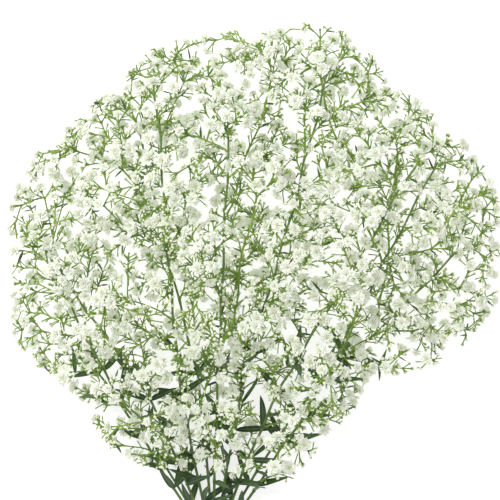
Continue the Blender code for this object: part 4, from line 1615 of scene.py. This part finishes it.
def make_branches(number, plant, shift, looks):
    """The thick stem, its side branches and every stalk, with small bracts at the forks."""
    label = stem_name(number)
    thick = tubes(label + "_main", [stem_line(plant.stems[number])], 3, shift)
    slots = ("stem", "twig", "cut")
    for slot in slots:
        thick.data.materials.append(looks[slot])
    tail = min(point.co.y for point in thick.data.vertices)
    for face in thick.data.polygons:
        if face.normal.y < -0.9 and face.center.y < tail + MM:
            face.material_index = slots.index("cut")
    parts = [thick]
    for name, kinds, steps, roundness in (
        ("_twigs", ("twig",), TWIG_STEPS, 1),
        ("_stalks", ("bud", *FLOWERS), STALK_STEPS, 0),
    ):
        shoots = of_stem(plant, number, kinds)
        lines = [(curved_line(shoot, steps), twig_radii(shoot, steps)) for shoot in shoots]
        thin = tubes(label + name, lines, roundness, shift)
        thin.data.materials.append(looks["twig"])
        parts.append(thin)
    bracts = Piece(label + "_bracts", [looks["twig"]])
    rng = random.Random(SEED * 100 + number)
    for shoot in of_stem(plant, number, ("twig",)):
        for turn in OPPOSITE:
            tilt = rng.uniform(14.0, 40.0)
            d = tilted(shoot.direction, shoot.side, tilt, turn + rng.uniform(-20.0, 20.0))
            size = between(rng, BRACT_LENGTH)
            bracts.place(looks["scale"], shoot.b, d, square_to(d, shoot.direction.cross(d)), size, 0.5)
    if bracts.shapes:
        parts.append(bracts.finish(shift, 40.0))
    return joined(parts, label + "_branches")


def set_leaf(blade, leaf, half, rng):
    """Lays a flat blade along a leaf's line: lance shaped, folded along its midrib, arched and twisted."""
    normal, across = leaf_frame(leaf)
    run = np.array(leaf.b - leaf.a)
    normal = np.array(normal)
    across = np.array(across)
    u = blade.points[:, 1]
    v = blade.points[:, 0]
    lance = np.sin(math.pi * np.clip(u, 0.0, 1.0) ** 0.75) ** 0.8
    width = half * (lance * 0.94 + 0.06 + 0.12 * (1.0 - u) ** 4)
    width = np.where(u > 0.999, half * 0.03, width)
    arch = np.sin(math.pi * u) * 0.03 * leaf.size
    arch += rng.uniform(-0.02, 0.02) * leaf.size * np.sin(math.tau * u)
    twist = rng.uniform(-0.5, 0.5) * u
    sag = rng.uniform(-0.04, 0.04) * leaf.size * np.sin(math.pi * u)
    wall = blade.points[:, 2] * LEAF_THICKNESS * (1.0 - 0.6 * u)
    fold = np.abs(v) * width * rng.uniform(0.12, 0.4)
    ripple = 0.05 * half * np.sin(u * 17.0 + v * 2.0 + leaf.number)
    lift = arch + wall + fold + ripple * np.abs(v)
    flat = v * width
    side = flat * np.cos(twist) - lift * np.sin(twist) * 0.3
    high = lift + flat * np.sin(twist)
    return np.array(leaf.a) + np.outer(u, run) + np.outer(side + sag, across) + np.outer(high, normal)


def make_leaves(number, plant, shift, looks):
    """The leaves of one stem: the long ones of the thick stem, darker, and small ones at the forks."""
    rng = random.Random(SEED * 200 + number)
    piece = Piece(stem_name(number) + "_leaves", [looks["leaf"]])
    for leaf in of_stem(plant, number, ("leaf",)):
        long = leaf.radius < LEAF_CLEARANCE
        half = LEAF_HALF_WIDTH if long else leaf.size * between(rng, SPRIG_SLENDER)
        blade = looks["blade"] if leaf.size > LONG_BLADE else looks["short_blade"]
        piece.add(blade, set_leaf(blade, leaf, half, rng), rng.random() ** (2.0 if long else 0.5))
    return piece.finish(shift, 60.0)


def make_flowers(number, plant, shift, looks):
    """Every open and half open flower of one stem."""
    rng = random.Random(SEED * 300 + number)
    piece = Piece(stem_name(number) + "_flowers", [looks["petal"], looks["calyx"]])
    for shoot in of_stem(plant, number, FLOWERS):
        forms, fullness = looks[shoot.kind]
        form = forms[rng.randrange(len(forms))]
        side = tilted(shoot.direction, shoot.side, 90.0, rng.uniform(0.0, 360.0))
        piece.place(form, shoot.b, shoot.direction, side, shoot.size * fullness, rng.random())
    return piece.finish(shift, 80.0)


def make_buds(number, plant, shift, looks):
    """The buds of one stem; the larger ones are paler."""
    rng = random.Random(SEED * 400 + number)
    piece = Piece(stem_name(number) + "_buds", [looks["bud"], looks["calyx"]])
    for shoot in of_stem(plant, number, ("bud",)):
        side = tilted(shoot.direction, shoot.side, 90.0, rng.uniform(0.0, 360.0))
        large = 1.0 if shoot.size > BUD_RADIUS[0] else 0.0
        tint = 0.55 * large + 0.45 * rng.random()
        piece.place(looks["bud_form"], shoot.b, shoot.direction, side, shoot.size, tint)
    return piece.finish(shift, 80.0)


def make_band(shift, looks):
    """An elastic band that goes three times round the stems and crosses back over itself on top."""
    outline = band_outline(BAND_GAP + STRAND_RADIUS)
    top = max(z for x, z in outline)
    line = []
    steps = len(outline) * BAND_TURNS
    start = max(range(len(outline)), key=lambda k: outline[k][1])
    for k in range(steps):
        x, z = outline[(start + k) % len(outline)]
        share = k / steps
        back = max(0.0, (share - BACK_FROM) / (1.0 - BACK_FROM))
        ease = back * back * (3.0 - 2.0 * back)
        along = BAND_TURNS * min(share / BACK_FROM, 1.0) * 0.78 - 1.0
        y = STRAND_PITCH * along * (1.0 - ease) - STRAND_PITCH * ease
        over = STRAND_RADIUS * 2.0 * math.sin(math.pi * back) if back > 0.0 else 0.0
        out = Vector((x - BAND_X, 0.0, z - top * 0.5)).normalized() * over
        wave = 0.06 * math.sin(5.0 * k)
        line.append(Vector((x + out.x, BAND_Y + y + wave, max(z + out.z, STRAND_RADIUS * 1.02))))
    curve = new_curve("band_turns", STRAND_RADIUS * MM, 3)
    curve.resolution_u = 4
    spline = curve.splines.new("NURBS")
    spline.points.add(len(line) - 1)
    for point, place in zip(spline.points, line):
        point.co = (*((place - shift) * MM), 1.0)
    spline.use_cyclic_u = True
    spline.order_u = 3
    band = as_mesh("band_turns", curve)
    band.data.materials.append(looks["band"])
    return band


def model_looks():
    """The shapes and finishes that all the stems share."""
    rng = random.Random(SEED)
    petal = model_petal()
    calyx, deep_calyx, bud_calyx = [model_calyx(*sizes) for sizes in CALYX_SIZES]
    blooms = [model_flower(petal, calyx, BLOOM_RINGS, rng) for k in range(BLOOM_FORMS)]
    openings = [model_flower(petal, deep_calyx, OPENING_RINGS, rng) for k in range(OPENING_FORMS)]
    return {
        "petal": petal_finish(),
        "calyx": calyx_finish(),
        "bud": bud_finish(),
        "stem": stem_finish(),
        "twig": twig_finish(),
        "cut": cut_finish(),
        "leaf": leaf_finish(),
        "band": band_finish(),
        "bloom": (blooms, BLOOM_FULLNESS),
        "opening": (openings, OPENING_FULLNESS),
        "bud_form": model_bud(bud_calyx),
        "blade": model_blade(LONG_BLADE_ROWS),
        "short_blade": model_blade(SHORT_BLADE_ROWS),
        "scale": model_scale(),
    }


def own(piece, slot, *nodes):
    """Makes a piece move with the root body and hides the solids it stands for; its slot is not used."""
    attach(piece, "root")
    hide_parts(*nodes)


def add_light(name, place, size, power):
    """A square soft light that shines at the middle of the bunch."""
    data = bpy.data.lights.new(name, "AREA")
    data.shape = "SQUARE"
    data.size = size
    data.energy = power
    light = new_object(name, data)
    light.location = place
    light.rotation_euler = (-Vector(place)).to_track_quat("-Z", "Y").to_euler()


def set_stage(shift):
    """A pale floor, soft light from all round, and a camera that looks straight down."""
    scene = bpy.context.scene
    deselect_all()
    bpy.ops.mesh.primitive_plane_add(size=FLOOR_SIZE, location=(0.0, 0.0, -FLOOR_DROP))
    floor = bpy.context.object
    floor.name = "studio_floor"
    bpy.ops.object.transform_apply(location=True)
    floor.data.materials.append(floor_finish())
    world = bpy.data.worlds.new("studio")
    world.use_nodes = True
    sky = world.node_tree.nodes["Background"]
    sky.inputs["Color"].default_value = (1.0, 1.0, 1.0, 1.0)
    sky.inputs["Strength"].default_value = SKY_STRENGTH
    scene.world = world
    for name, place, size, power in LIGHTS:
        add_light(name, place, size, power)
    data = bpy.data.cameras.new("view_from_above")
    data.sensor_width = SENSOR
    data.lens = SENSOR * VIEW_DISTANCE / (VIEW_WIDTH * MM)
    data.clip_end = 50.0
    camera = new_object("view_from_above", data)
    camera.location = (
        VIEW_X * MM - shift.x * MM,
        VIEW_Y * MM - shift.y * MM,
        VIEW_DISTANCE + VIEW_HEIGHT * MM,
    )
    scene.camera = camera
    scene.view_settings.view_transform = "Standard"
    scene.view_settings.look = "None"


def dress():
    """Grows the bunch, lays it on the solids by its band, and makes every piece."""
    band_low, band_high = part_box("band")
    band_middle = (band_low + band_high) * 0.5
    shift = Vector((BAND_X, BAND_Y, 0.0)) - Vector((band_middle.x, band_middle.y, 0.0)) / MM
    plant = grow_bunch()
    looks = model_looks()
    for number in range(len(STEMS)):
        for make in (make_branches, make_leaves, make_flowers, make_buds):
            own(make(number, plant, shift, looks), "flowering_stem", stem_name(number))
    own(make_band(shift, looks), "band", "band")
    set_stage(shift)


dress()
